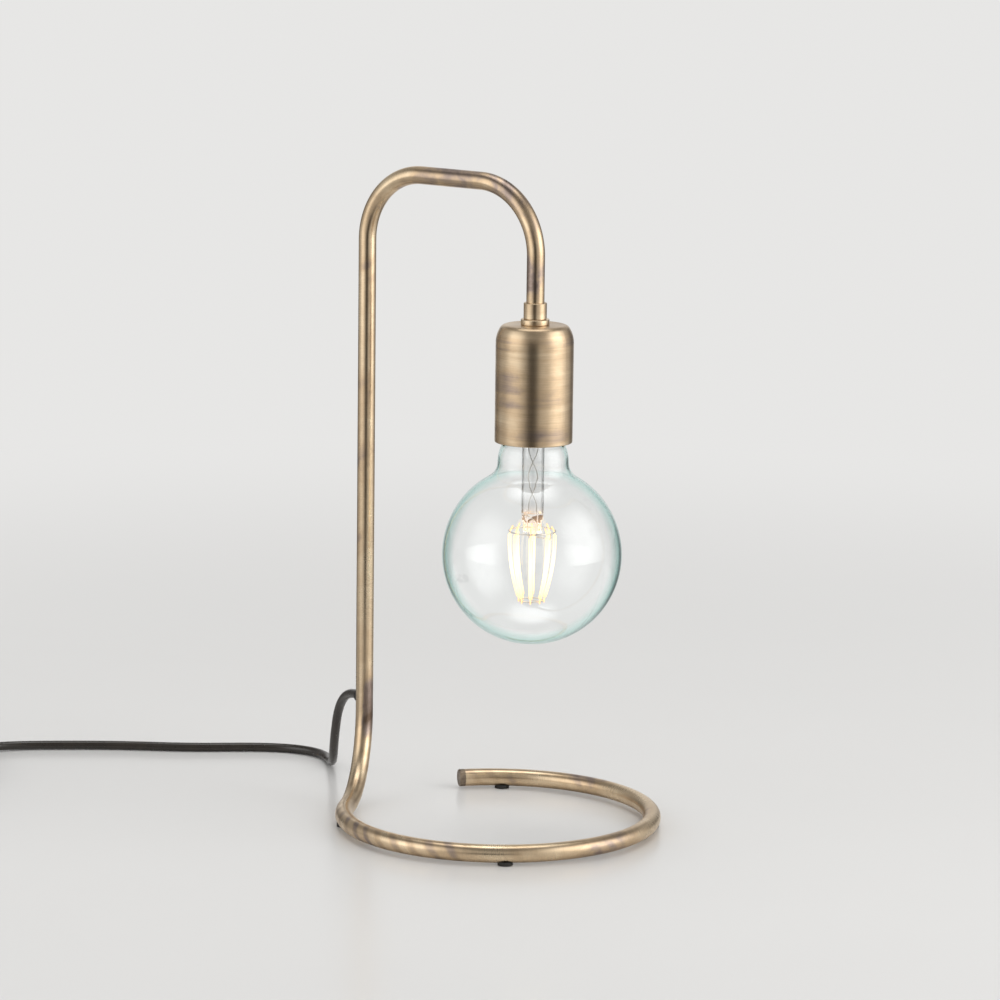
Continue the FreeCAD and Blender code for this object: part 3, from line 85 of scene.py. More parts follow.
# ---- Cord, with its route's points in metres
CORD_DIAMETER = 5.0 * MM
CORD_START = 1.5 * MM            # from the stem's axis
CORD_TO_SWITCH = [
    (-0.1057, 0.0093, 0.0560), (-0.1204, 0.0168, 0.0445), (-0.1270, 0.0210, 0.0240),
    (-0.1347, 0.0292, 0.0085), (-0.1471, 0.0423, 0.0025), (-0.1626, 0.0544, 0.0025),
    (-0.1826, 0.0543, 0.0025), (-0.2028, 0.0428, 0.0025), (-0.2306, 0.0166, 0.0025),
    (-0.2659, -0.0064, 0.0025), (-0.2933, -0.0297, 0.0025), (-0.3106, -0.0463, 0.0025),
    (-0.3178, -0.0649, 0.0035), (-0.3132, -0.0871, 0.0080), (-0.3017, -0.1022, 0.0080)]
CORD_TO_COIL = [
    (-0.2738, -0.1388, 0.0080), (-0.2642, -0.1516, 0.0080), (-0.2545, -0.1643, 0.0025),
    (-0.2472, -0.1739, 0.0025)]
CORD_TO_PLUG = [
    (-0.3063, -0.2024, 0.0190), (-0.3174, -0.1905, 0.0130), (-0.3252, -0.1790, 0.0070),
    (-0.3317, -0.1689, 0.0070)]
COIL_TURNS = 7.5
COIL_LAYERS = 4
COIL_CLIMB = 0.5                 # turns in which the cord climbs to the next layer
COIL_LAYER = (COIL_TURNS + COIL_CLIMB) / COIL_LAYERS    # turns from one layer to the next
COIL_PITCH = 5.5 * MM
COIL_LEAST_RADIUS = 22.5 * MM
COIL_POINTS_PER_TURN = 24
CORD_IN_SWITCH = 6.0 * MM

# ---- Grooved sleeves at the switch's ends
RELIEF_LENGTH = 24.0 * MM
RELIEF_STEP = 0.4 * MM
RELIEF_ROOT = 1.5 * MM           # of it inside the casing
RELIEF_WIDE = 4.6 * MM
RELIEF_NARROW = 3.0 * MM
RELIEF_GROOVES = 7
RELIEF_GROOVE_DEPTH = 0.45 * MM
RELIEF_GROOVE_EDGE = 0.35        # height of the groove's wave above which it is cut
RELIEF_PLAIN_UNTIL = 0.12        # shares of the sleeve's length with grooves between them
RELIEF_PLAIN_FROM = 0.94

# ---- The coil's tie
STRAP_WIDTH = 9.0 * MM
STRAP_THICK = 0.6 * MM
STRAP_EASE = 0.3 * MM
STRAP_THREAD = 0.7 * MM
STRAP_CORNER_STEPS = 6
STRAP_LAP = 8                    # steps of its end over its start

# ---- Edges sharper than these angles, in degrees, stay sharp
CAD_SHARP = 32
TUBE_SHARP = 40
STRAP_SHARP = 40
RELIEF_SHARP = 50

# ---- Camera
CAMERA_PLACE = (1.3770, -1.7672, 0.5795)
CAMERA_YAW = math.radians(37.84)
CAMERA_PITCH = math.radians(-10.20)
CAMERA_ROLL = math.radians(0.706)
CAMERA_FOCAL_PX = 4294.4
IMAGE_PX = 1000
SENSOR_MM = 36.0


# ---- Node helpers
class Nodes:
    """Builds the node tree of a material, or of the world or light that is given."""

    def __init__(self, name, owner=None):
        self.material = owner or bpy.data.materials.new(name)
        self.material.use_nodes = True
        self.tree = self.material.node_tree
        self.shader = self.tree.nodes.get("Principled BSDF")
        self.output = self.tree.nodes.get("Material Output")

    def add(self, kind, **settings):
        node = self.tree.nodes.new(kind)
        for key, value in settings.items():
            setattr(node, key, value)
        return node

    def link(self, source, target):
        self.tree.links.new(source, target)

    def math(self, operation, a, b=None, c=None):
        node = self.add("ShaderNodeMath", operation=operation)
        for socket, value in zip(node.inputs, (a, b, c)):
            if value is None:
                continue
            if isinstance(value, (int, float)):
                socket.default_value = value
            else:
                self.link(value, socket)
        return node.outputs[0]

    def weighted(self, base, *terms):
        """A base plus the sum of some values times their weights."""
        for value, weight in terms:
            base = self.math("MULTIPLY_ADD", value, weight, base)
        return base

    def product(self, first, *others):
        for value in others:
            first = self.math("MULTIPLY", first, value)
        return first

    def coordinates(self, kind="Object"):
        return self.add("ShaderNodeTexCoord").outputs[kind]

    def parts(self, vector):
        node = self.add("ShaderNodeSeparateXYZ")
        self.link(vector, node.inputs[0])
        return node.outputs

    def along(self, vector, direction):
        """How far a vector reaches along a direction."""
        node = self.add("ShaderNodeVectorMath", operation="DOT_PRODUCT")
        self.link(vector, node.inputs[0])
        node.inputs[1].default_value = direction
        return node.outputs["Value"]

    def apart(self, value, place):
        """Distance of a value from a place."""
        return self.math("ABSOLUTE", self.math("SUBTRACT", value, place))

    def step(self, value, low, high, at_low=0.0, at_high=1.0):
        """Eases from at_low to at_high as value goes from low to high."""
        node = self.add("ShaderNodeMapRange", interpolation_type="SMOOTHSTEP")
        for key, number in (("From Min", low), ("From Max", high), ("To Min", at_low), ("To Max", at_high)):
            node.inputs[key].default_value = number
        self.link(value, node.inputs["Value"])
        return node.outputs[0]

    def span(self, value, low, high):
        """Maps 0..1 to low..high."""
        node = self.add("ShaderNodeMapRange")
        node.inputs["To Min"].default_value = low
        node.inputs["To Max"].default_value = high
        self.link(value, node.inputs["Value"])
        return node.outputs[0]

    def scaled(self, vector, scale, offset=(0, 0, 0)):
        node = self.add("ShaderNodeMapping")
        node.inputs["Scale"].default_value = scale
        node.inputs["Location"].default_value = offset
        self.link(vector, node.inputs["Vector"])
        return node.outputs[0]

    def noise(self, vector, scale, detail=4.0, roughness=0.5, distortion=0.0, offset=(0, 0, 0)):
        """Noise of a scale per metre, or of one for each of x, y and z."""
        if isinstance(scale, tuple):
            vector = self.scaled(vector, scale, offset)
            scale = 1.0
        node = self.add("ShaderNodeTexNoise")
        node.inputs["Scale"].default_value = scale
        node.inputs["Detail"].default_value = detail
        node.inputs["Roughness"].default_value = roughness
        node.inputs["Distortion"].default_value = distortion
        self.link(vector, node.inputs["Vector"])
        return node.outputs["Fac"]

    def ramp(self, value, stops):
        node = self.add("ShaderNodeValToRGB")
        elements = node.color_ramp.elements
        while len(elements) < len(stops):
            elements.new(0.5)
        for element, (place, color) in zip(elements, stops):
            element.position = place
            element.color = (*color, 1)
        self.link(value, node.inputs["Fac"])
        return node.outputs["Color"]

    def mix(self, factor, a, b, blend="MIX"):
        node = self.add("ShaderNodeMix", data_type="RGBA", blend_type=blend)
        sockets = (node.inputs[0], node.inputs[6], node.inputs[7])
        for socket, value in zip(sockets, (factor, a, b)):
            if isinstance(value, (int, float)):
                socket.default_value = value
            elif isinstance(value, tuple):
                socket.default_value = (*value, 1)
            else:
                self.link(value, socket)
        return node.outputs[2]

    def bump(self, height, strength, distance):
        node = self.add("ShaderNodeBump")
        node.inputs["Strength"].default_value = strength
        node.inputs["Distance"].default_value = distance
        self.link(height, node.inputs["Height"])
        self.link(node.outputs[0], self.shader.inputs["Normal"])

    def set(self, **sockets):
        """Gives the shader's sockets a number, a colour or a node's output."""
        names = {"color": "Base Color", "metallic": "Metallic", "rough": "Roughness", "ior": "IOR",
                 "coat": "Coat Weight", "coat_rough": "Coat Roughness", "sheen": "Sheen Weight",
                 "aniso": "Anisotropic", "aniso_turn": "Anisotropic Rotation",
                 "transmission": "Transmission Weight", "glow_color": "Emission Color",
                 "glow": "Emission Strength"}
        for key, value in sockets.items():
            socket = self.shader.inputs[names[key]]
            if isinstance(value, tuple):
                socket.default_value = (*value, 1)
            elif isinstance(value, (int, float)):
                socket.default_value = value
            else:
                self.link(value, socket)


# ---- Brass
WHITE = (1.0, 1.0, 1.0)
BRASS_LIGHT = (0.83, 0.67, 0.465)
BRASS_MID = (0.60, 0.445, 0.285)
BRASS_VIOLET = (0.34, 0.265, 0.225)
BRASS_DARK = (0.15, 0.105, 0.075)
PATINA_ROUGHNESS = 0.16          # added where the patina is full
BRUSHED_ROUND = 0.25             # turn of the highlights across the brush lines
BRUSH_DEPTH = 0.05 * MM
TUBE_MAP = "tube"                # turn round the tube, and metres along it from its free end

# Marks that wind round the tube
BAND_PITCH = 10.5 * MM
BAND_STARTS = 2                  # marks side by side in one turn
BAND_WANDER = 1.1
BAND_START = 325 * MM            # along the tube, where they show most
BAND_END = 400 * MM
BAND_RISE = 40 * MM
BAND_FALL = 25 * MM
BAND_MIDDLE = 0.47               # turn of the tube's outer, lower side
BAND_DARKNESS = 0.19
BAND_ELSEWHERE = 0.16            # the most that they darken other patches

# Stained stretches: place along the tube, half length and darkening
STAINS = [
    (70 * MM, 22 * MM, 0.10), (210 * MM, 30 * MM, 0.12), (640 * MM, 26 * MM, 0.13),
    (770 * MM, 12 * MM, 0.12), (828 * MM, 30 * MM, 0.20), (885 * MM, 24 * MM, 0.14),
    (922 * MM, 18 * MM, 0.24)]
STAIN_CORE = 0.3                 # shares of a stain's half length
STAIN_EDGE = 1.5

# The darkest patch, on one side of the stem's foot
PATCH_PLACE = 494 * MM
PATCH_CORE = 8 * MM
PATCH_REACH = 24 * MM
PATCH_TURN = 0.90
PATCH_DARKNESS = 0.38


def brass_colours(n, patina):
    """Rubbed brass, through grey violet, to brown patina."""
    return n.ramp(patina, [(0.22, BRASS_LIGHT), (0.50, BRASS_MID), (0.68, BRASS_VIOLET), (0.90, BRASS_DARK)])


def worn(n, color, hairlines, depth):
    """A colour darkened in its hairlines."""
    low = 1 - depth
    return n.mix(1.0, color, n.ramp(hairlines, [(0.32, (low, low, low)), (0.62, WHITE)]), "MULTIPLY")


def unrolled(n, turn, along):
    """Place on the tube as if it were straight."""
    angle = n.math("MULTIPLY", turn, FULL_TURN)
    place = n.add("ShaderNodeCombineXYZ")
    n.link(n.math("MULTIPLY", n.math("COSINE", angle), TUBE_RADIUS), place.inputs[0])
    n.link(n.math("MULTIPLY", n.math("SINE", angle), TUBE_RADIUS), place.inputs[1])
    n.link(along, place.inputs[2])
    return place.outputs[0]


def facing(n, turn, middle):
    """1 on the tube's side at one turn, and -1 opposite."""
    return n.math("COSINE", n.math("MULTIPLY", n.math("SUBTRACT", turn, middle), FULL_TURN))


def winding_marks(n, turn, along, patches):
    """Darkening by burnish marks, most on the ring's outer, lower side at the left front."""
    helix = n.weighted(0.0, (along, 1 / BAND_PITCH), (turn, -BAND_STARTS), (patches, BAND_WANDER))
    wave = n.math("SINE", n.math("MULTIPLY", helix, FULL_TURN))
    rise = n.step(along, BAND_START - BAND_RISE, BAND_START)
    fall = n.step(along, BAND_END, BAND_END + BAND_FALL, at_low=1.0, at_high=0.0)
    shown = n.product(rise, fall, n.step(facing(n, turn, BAND_MIDDLE), -0.35, 0.35))
    elsewhere = n.step(patches, 0.48, 0.72, at_high=BAND_ELSEWHERE)
    return n.product(n.step(wave, -0.7, 1.0), n.weighted(elsewhere, (shown, BAND_DARKNESS)))


def stains(n, along, blotches):
    """Darkening of the stained stretches, uneven by the blotches."""
    total = 0.0
    unevenness = n.span(blotches, 0.2, 1.8)
    for place, reach, darkness in STAINS:
        stain = n.step(n.apart(along, place), STAIN_CORE * reach, STAIN_EDGE * reach, darkness, 0.0)
        total = n.weighted(total, (stain, unevenness))
    return total


def foot_patch(n, turn, along):
    """Darkening of the patch on one side of the stem's foot."""
    near = n.step(n.apart(along, PATCH_PLACE), PATCH_CORE, PATCH_REACH, PATCH_DARKNESS, 0.0)
    return n.product(near, n.step(facing(n, turn, PATCH_TURN), 0.3, 0.9))


def tube_brass():
    """Antique brass that follows the tube: long streaks, winding marks, stains and fine hairlines."""
    n = Nodes("antique_brass_tube")
    turn, along = n.parts(n.add("ShaderNodeUVMap", uv_map=TUBE_MAP).outputs[0])[:2]
    straight = unrolled(n, turn, along)
    streaks = n.noise(straight, (240, 240, 14), detail=3.0)
    blotches = n.noise(straight, (110, 110, 75), roughness=0.6, distortion=0.5)
    patches = n.noise(straight, (34, 34, 24), detail=2.0, offset=(4.0, 0, 2.0))
    hairlines = n.noise(straight, (240, 240, 3600), detail=3.0, roughness=0.7)
    patina = n.weighted(-0.25, (streaks, 0.20), (blotches, 0.42), (patches, 0.62))
    patina = n.math("ADD", patina, stains(n, along, blotches))
    patina = n.math("ADD", patina, foot_patch(n, turn, along))
    patina = n.math("ADD", patina, winding_marks(n, turn, along, patches))
    n.set(color=worn(n, brass_colours(n, patina), hairlines, depth=0.13), metallic=1.0)
    n.set(rough=n.weighted(n.span(hairlines, 0.19, 0.26), (patina, PATINA_ROUGHNESS)))
    n.set(aniso=0.45, aniso_turn=BRUSHED_ROUND)
    tangent = n.add("ShaderNodeTangent", direction_type="UV_MAP", uv_map=TUBE_MAP)
    n.link(tangent.outputs[0], n.shader.inputs["Tangent"])
    n.bump(hairlines, 0.04, BRUSH_DEPTH)
    return n.material


def lathe_brass(name, darkness):
    """Antique brass of a piece turned on the bulb's axis, brushed round it, with darker bands and spots."""
    n = Nodes(name)
    place = n.scaled(n.coordinates(), (1, 1, 1), offset=(-BULB_X, 0, 0))
    bands = n.noise(place, (15, 15, 96), detail=2.0, distortion=0.25, offset=(0.7, 0.2, 1.6))
    lines = n.noise(place, (18, 18, 520), detail=3.0, roughness=0.6)
    clouds = n.noise(place, (60, 60, 75), roughness=0.6, distortion=0.4)
    hairlines = n.noise(place, (60, 60, 4600), detail=3.0, roughness=0.75)
    patina = n.weighted(darkness - 0.31, (bands, 0.84), (clouds, 0.42), (lines, 0.26))
    n.set(color=worn(n, brass_colours(n, patina), hairlines, depth=0.20), metallic=1.0)
    n.set(rough=n.weighted(n.span(hairlines, 0.22, 0.31), (patina, PATINA_ROUGHNESS)))
    n.set(aniso=0.6, aniso_turn=BRUSHED_ROUND)
    n.bump(hairlines, 0.16, BRUSH_DEPTH)
    return n.material


def cut_brass():
    """Dull, bitten brass of the tube's end cap."""
    n = Nodes("aged_brass")
    place = n.coordinates()
    bites = n.noise(place, 520, detail=5.0, roughness=0.65)
    stain = n.noise(place, 150, detail=3.0)
    tones = [(0.35, (0.36, 0.29, 0.21)), (0.55, (0.23, 0.18, 0.135)), (0.75, (0.12, 0.095, 0.075))]
    n.set(color=n.ramp(n.weighted(0.0, (bites, 0.5), (stain, 0.5)), tones), metallic=1.0)
    n.set(rough=n.span(bites, 0.34, 0.58))
    n.bump(bites, 0.25, 0.1 * MM)
    return n.material


# ---- Other materials
SOFT_BLACK = (0.022, 0.020, 0.018)
CLEAN_EDGE = [(0.93, 0.97, 0.97), (0.66, 0.76, 0.77)]    # tints of glass near and at its outline
GREEN_EDGE = [(0.66, 0.94, 0.90), (0.05, 0.50, 0.43)]
GLASS_BODY = (0.22, 0.84, 0.76)
GLOW_TIP = (1.0, 0.38, 0.10)
GLOW_SHOULDER = (1.0, 0.70, 0.34)
GLOW_MIDDLE = (1.0, 0.84, 0.57)


def plain_metal(name, color, rough):
    """Even metal with a faint mottle and fine scratches."""
    n = Nodes(name)
    place = n.coordinates()
    mottle = n.noise(place, 220, detail=5.0, roughness=0.6)
    scratches = n.noise(place, (900, 900, 3600), detail=2.0)
    dark = tuple(0.72 * c for c in color)
    n.set(color=n.mix(mottle, dark, color), metallic=1.0, rough=n.span(scratches, rough - 0.06, rough + 0.10))
    n.bump(scratches, 0.05, 0.04 * MM)
    return n.material


def plastic(name, color, rough, grain_scale, grain, coat=0.0):
    """Moulded plastic: a little colour change, an uneven gloss and a fine texture."""
    n = Nodes(name)
    place = n.coordinates()
    clouds = n.noise(place, 90, detail=3.0)
    texture = n.noise(place, grain_scale, roughness=0.6)
    light = tuple(min(1.0, 1.25 * c + 0.004) for c in color)
    n.set(color=n.mix(clouds, color, light), rough=n.span(texture, rough - 0.05, rough + 0.10))
    n.set(coat=coat, coat_rough=0.15)
    n.bump(texture, grain, 0.06 * MM)
    return n.material


def clear_glass(name, density, edge):
    """Nodes of clear glass with a tinted outline, as thick soda glass has."""
    n = Nodes(name)
    weight = n.add("ShaderNodeLayerWeight")
    weight.inputs["Blend"].default_value = 0.5
    tint = n.ramp(weight.outputs["Facing"], [(0.52, WHITE), (0.77, edge[0]), (0.93, edge[1])])
    n.set(color=tint, rough=0.0, ior=1.5, transmission=1.0)
    absorb = n.add("ShaderNodeVolumeAbsorption")
    absorb.inputs["Color"].default_value = (*GLASS_BODY, 1)
    absorb.inputs["Density"].default_value = density
    n.link(absorb.outputs[0], n.output.inputs["Volume"])
    return n


def globe_glass():
    """Blown glass with a green blue outline and faint waves in its surface."""
    n = clear_glass("globe_glass", 14.0, GREEN_EDGE)
    n.bump(n.noise(n.coordinates(), 26, detail=2.0), 0.05, 0.6 * MM)
    return n.material


def stem_glass():
    """Glass of the stem, a little milky, with a painted orange glow on its pinched lower end that stands in
    for the filaments' light.
    """
    n = clear_glass("stem_glass", 2.0, CLEAN_EDGE)
    height = n.parts(n.coordinates("Generated"))[2]
    # Painted glow: orange emission, strongest at the bottom of the stem, in place of the filaments' light on
    # the glass.
    painted_glow = n.step(height, 0.0, 0.26, at_low=0.24, at_high=0.0)
    n.set(transmission=0.95, glow_color=(1.0, 0.52, 0.22), glow=painted_glow)
    return n.material


def filament_glow():
    """Phosphor-coated strip, lit, white hot in its middle and orange towards its ends."""
    n = Nodes("lit_filament")
    beads = n.noise(n.coordinates(), (500, 500, 900), detail=2.0)
    n.set(color=n.mix(beads, (0.95, 0.72, 0.30), (1.0, 0.85, 0.48)), rough=0.6)
    height = n.parts(n.coordinates("Generated"))[2]
    glow = n.ramp(height, [(0.0, GLOW_TIP), (0.14, GLOW_SHOULDER), (0.5, GLOW_MIDDLE),
                           (0.86, GLOW_SHOULDER), (1.0, GLOW_TIP)])
    n.set(glow_color=glow, glow=1.6)
    return n.material


def circuit_board():
    """Green board with paler traces."""
    n = Nodes("circuit_board")
    traces = n.noise(n.coordinates(), (300, 900, 1), detail=1.0)
    n.set(color=n.ramp(traces, [(0.48, (0.03, 0.16, 0.07)), (0.52, (0.06, 0.27, 0.12))]), rough=0.35)
    return n.material


def cord_sheath():
    """Dark glossy sheath with a faint lengthwise unevenness."""
    n = Nodes("cord_sheath")
    place = n.coordinates()
    waves = n.noise(place, 160, detail=3.0)
    n.set(color=n.mix(waves, (0.015, 0.011, 0.008), (0.030, 0.022, 0.015)), rough=n.span(waves, 0.22, 0.34))
    n.set(coat=0.25, coat_rough=0.2)
    n.bump(n.noise(place, 1800, detail=3.0), 0.08, 0.05 * MM)
    return n.material


def strap_weave():
    """Black woven strap."""
    n = Nodes("strap_weave")
    place = n.coordinates()
    rows = [n.math("SINE", n.math("MULTIPLY", t, FULL_TURN / STRAP_THREAD)) for t in n.parts(place)]
    weave = n.math("MULTIPLY", n.math("ADD", rows[0], rows[1]), rows[2])
    fuzz = n.noise(place, 1400, detail=3.0)
    n.set(color=n.mix(fuzz, (0.014, 0.014, 0.015), (0.045, 0.044, 0.043)), rough=0.85, sheen=0.3)
    n.bump(weave, 0.5, 0.1 * MM)
    return n.material


def make_materials():
    """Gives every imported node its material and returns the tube's brass and the moulded black."""
    tube = tube_brass()
    zinc = plain_metal("zinc_steel", (0.60, 0.60, 0.59), rough=0.32)
    bright = plain_metal("contact_brass", (0.83, 0.66, 0.36), rough=0.25)
    wire = plain_metal("support_wire", (0.86, 0.82, 0.76), rough=0.36)
    nickel = plain_metal("nickel_cap", (0.72, 0.71, 0.68), rough=0.22)
    holder = plastic("holder_plastic", SOFT_BLACK, rough=0.22, grain_scale=600, grain=0.05, coat=0.3)
    black = plastic("moulded_black", (0.018, 0.016, 0.015), rough=0.38, grain_scale=2600, grain=0.35)
    glow = filament_glow()
    plan = {
        "tube_collar": lathe_brass("antique_brass_collar", darkness=-0.10),
        "check_washer": lathe_brass("antique_brass_washer", darkness=-0.16),
        "holder_cover": lathe_brass("antique_brass_cup", darkness=0.0),
        "tube_end_cap": cut_brass(),
        "foot_pads": plastic("pad_rubber", SOFT_BLACK, rough=0.62, grain_scale=1800, grain=0.25),
        "cable_bush": plastic("bush_rubber", (0.012, 0.011, 0.010), rough=0.55, grain_scale=1500, grain=0.2),
        "terminal_block": plastic("white_ceramic", (0.80, 0.78, 0.72), rough=0.20, grain_scale=300,
                                  grain=0.05, coat=0.5),
        "globe_glass": globe_glass(),
        "glass_stem": stem_glass(),
        "bulb_driver": circuit_board(),
        "cap_insulator": plastic("black_glass", (0.01, 0.01, 0.012), rough=0.10, grain_scale=200,
                                 grain=0.02, coat=0.6),
        "switch_rocker": plastic("rocker_black", (0.020, 0.018, 0.017), rough=0.16, grain_scale=500,
                                 grain=0.05, coat=0.4),
        "live_core": plastic("brown_core", (0.22, 0.09, 0.04), rough=0.4, grain_scale=800, grain=0.05),
        "neutral_core": plastic("blue_core", (0.04, 0.14, 0.42), rough=0.4, grain_scale=800, grain=0.05),
        "plug_pins": plain_metal("pin_nickel", (0.74, 0.73, 0.70), rough=0.20)}
    shared = [
        (holder, ["holder_dome", "holder_skirt"]),
        (nickel, ["bulb_cap_shell", "cap_contact"]),
        (black, ["switch_base", "switch_cover", "cord_clamps", "plug_body"]),
        (zinc, ["threaded_nipple", "nipple_locknut", "toothed_washer", "dome_grub_screw", "terminal_screws",
                "switch_screws", "rocker_pin"]),
        (bright, ["terminal_posts", "thread_shell", "shell_strap", "centre_contact_spring",
                  "switch_contacts"]),
        (wire, ["lead_in_wires", "top_ring", "bottom_ring", "driver_leads"]),
        (glow, [name for name in nodes if name.startswith("filament_")])]
    for material, names in shared:
        for name in names:
            plan[name] = material
    for name, material in plan.items():
        paint(nodes[name], material)
    return tube, black


def paint(piece, material):
    """Gives a piece one material."""
    piece.data.materials.clear()
    piece.data.materials.append(material)


# ---- Mesh helpers
def shade(data, sharp_degrees):
    """Shades a mesh smoothly and keeps its real corners sharp."""
    data.shade_smooth()
    data.set_sharp_from_angle(angle=math.radians(sharp_degrees))


def new_piece(name, mesh, material):
    """Makes an object of a built mesh."""
    data = bpy.data.meshes.new(name)
    mesh.to_mesh(data)
    mesh.free()
    piece = bpy.data.objects.new(name, data)
    bpy.context.scene.collection.objects.link(piece)
    data.materials.append(material)
    return piece


def sweep_rings(mesh, points, radii):
    """Rings of vertices square to a line, one radius for each point, turned along with it."""
    ahead = (points[1] - points[0]).normalized()
    across = ahead.cross(UP).normalized()
    rings = []
    for i, (point, radius) in enumerate(zip(points, radii)):
        before, after = points[max(i - 1, 0)], points[min(i + 1, len(points) - 1)]
        heading = (after - before).normalized()
        across = (across - heading * across.dot(heading)).normalized()
        other = heading.cross(across)
        arms = [across * math.cos(a) + other * math.sin(a) for a in RING_TURNS]
        rings.append([mesh.verts.new(point + arm * radius) for arm in arms])
    return rings


def skin(mesh, rings):
    """Joins rings of vertices into one closed solid."""
    count = len(rings[0])
    for low, high in zip(rings, rings[1:]):
        for k in range(count):
            m = (k + 1) % count
            mesh.faces.new((low[k], high[k], high[m], low[m]))
    mesh.faces.new(rings[0])
    mesh.faces.new(rings[-1][::-1])
    bmesh.ops.recalc_face_normals(mesh, faces=mesh.faces)


# ---- The bent tube
def arc_points(centre, start_arm, normal, sweep):
    """Points along an arc, without its first, that turns start_arm about normal."""
    steps = max(2, round(start_arm.length * abs(sweep) / TUBE_STEP))
    turns = [sweep * i / steps for i in range(1, steps + 1)]
    return [centre + Matrix.Rotation(a, 3, normal) @ start_arm for a in turns]


def line_points(start, end):
    """Points along a straight run, without its first."""
    steps = max(1, round((end - start).length / (4 * TUBE_STEP)))
    return [start.lerp(end, i / steps) for i in range(1, steps + 1)]


def tube_line():
    """Centre line of the tube from its free end to its end in the collar."""
    end_angle = -math.pi + math.atan2(FOOT_BEND, RING_RADIUS)
    start_angle = end_angle + RING_SWEEP
    centre = Vector((RING_X, 0, RING_Z))
    first_arm = Vector((math.cos(start_angle), math.sin(start_angle), 0)) * RING_RADIUS
    points = [centre + first_arm] + arc_points(centre, first_arm, UP, -RING_SWEEP)
    heading = Vector((math.sin(end_angle), -math.cos(end_angle), 0))
    foot_centre = points[-1] + UP * FOOT_BEND
    points += arc_points(foot_centre, UP * -FOOT_BEND, heading.cross(UP), math.pi / 2)
    bend_z = TOP_Z - ARCH_BEND
    points += line_points(points[-1], Vector((STEM_X, 0, bend_z)))
    side = Vector((0, 1, 0))
    first_bend = Vector((STEM_X + ARCH_BEND, 0, bend_z))
    last_bend = Vector((BULB_X - ARCH_BEND, 0, bend_z))
    points += arc_points(first_bend, Vector((-ARCH_BEND, 0, 0)), side, math.pi / 2)
    points += line_points(points[-1], last_bend + UP * ARCH_BEND)
    points += arc_points(last_bend, UP * ARCH_BEND, side, math.pi / 2)
    points += line_points(points[-1], Vector((BULB_X, 0, DROP_END_Z)))
    return points


def bent_tube(material):
    """The whole tube as one open-ended wall with a map of turn and length, and the cord's hole."""
    points = tube_line()
    lengths = [0.0]
    for a, b in zip(points, points[1:]):
        lengths.append(lengths[-1] + (b - a).length)
    mesh = bmesh.new()
    uv = mesh.loops.layers.uv.new(TUBE_MAP)
    outer = sweep_rings(mesh, points, [TUBE_RADIUS] * len(points))
    inner = sweep_rings(mesh, points, [TUBE_RADIUS - TUBE_WALL] * len(points))

    def quad(corners, places):
        face = mesh.faces.new(corners)
        for loop, place in zip(face.loops, places):
            loop[uv].uv = place

    for i in range(len(points) - 1):
        for k in range(TUBE_SIDES):
            m = (k + 1) % TUBE_SIDES
            u, v = k / TUBE_SIDES, (k + 1) / TUBE_SIDES
            low, high = lengths[i], lengths[i + 1]
            near, far = outer[i], outer[i + 1]
            quad((near[k], far[k], far[m], near[m]), ((u, low), (u, high), (v, high), (v, low)))
            near, far = inner[i], inner[i + 1]
            quad((near[k], near[m], far[m], far[k]), ((u, low), (v, low), (v, high), (u, high)))
    for end, flip in ((0, False), (len(points) - 1, True)):
        for k in range(TUBE_SIDES):
            m = (k + 1) % TUBE_SIDES
            corners = (outer[end][k], outer[end][m], inner[end][m], inner[end][k])
            quad(corners[::-1] if flip else corners, ((0, lengths[end]),) * 4)
    bmesh.ops.recalc_face_normals(mesh, faces=mesh.faces)
    piece = new_piece("brass_tube", mesh, material)
    cut_exit_hole(piece)
    shade(piece.data, TUBE_SHARP)
    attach(piece, "lamp")
    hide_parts("lamp_tube")


def cut_exit_hole(piece):
    """Bores the cord's hole through one wall of the stem."""
    drill = bmesh.new()
    across = EXIT_DIR.cross(UP)
    turns = [FULL_TURN * k / EXIT_HOLE_SIDES for k in range(EXIT_HOLE_SIDES)]
    arms = [(across * math.cos(a) + UP * math.sin(a)) * EXIT_HOLE_RADIUS for a in turns]
    start = Vector((STEM_X, 0, EXIT_HEIGHT))
    ends = [start, start + EXIT_DIR * 2 * TUBE_RADIUS]
    skin(drill, [[drill.verts.new(end + arm) for arm in arms] for end in ends])
    cutter = new_piece("drill", drill, piece.data.materials[0])
    bore = piece.modifiers.new("bore", "BOOLEAN")
    bore.operation = "DIFFERENCE"
    bore.solver = "EXACT"
    bore.object = cutter
    apply_modifiers(piece)
    bpy.data.objects.remove(cutter)


def apply_modifiers(piece):
    """Replaces a piece's mesh by its mesh with modifiers."""
    shaped = piece.evaluated_get(bpy.context.evaluated_depsgraph_get())
    data = bpy.data.meshes.new_from_object(shaped)
    piece.modifiers.clear()
    piece.data = data


# ---- Cord
def coil_radius(t):
    """Radius of the coil after t turns, which shrinks through one layer and grows through the next."""
    phase = (t - (COIL_LAYER - COIL_CLIMB / 2)) % (2 * COIL_LAYER)
    return COIL_LEAST_RADIUS + COIL_PITCH * min(phase, 2 * COIL_LAYER - phase)


def coil_height(t):
    """Height of the cord's middle after t turns, which climbs from layer to layer."""
    z = CORD_DIAMETER / 2
    for i in range(1, COIL_LAYERS):
        share = min(1.0, max(0.0, (t - i * COIL_LAYER) / COIL_CLIMB + 1.0))
        z += COIL_PITCH * share * share * (3 - 2 * share)
    return z


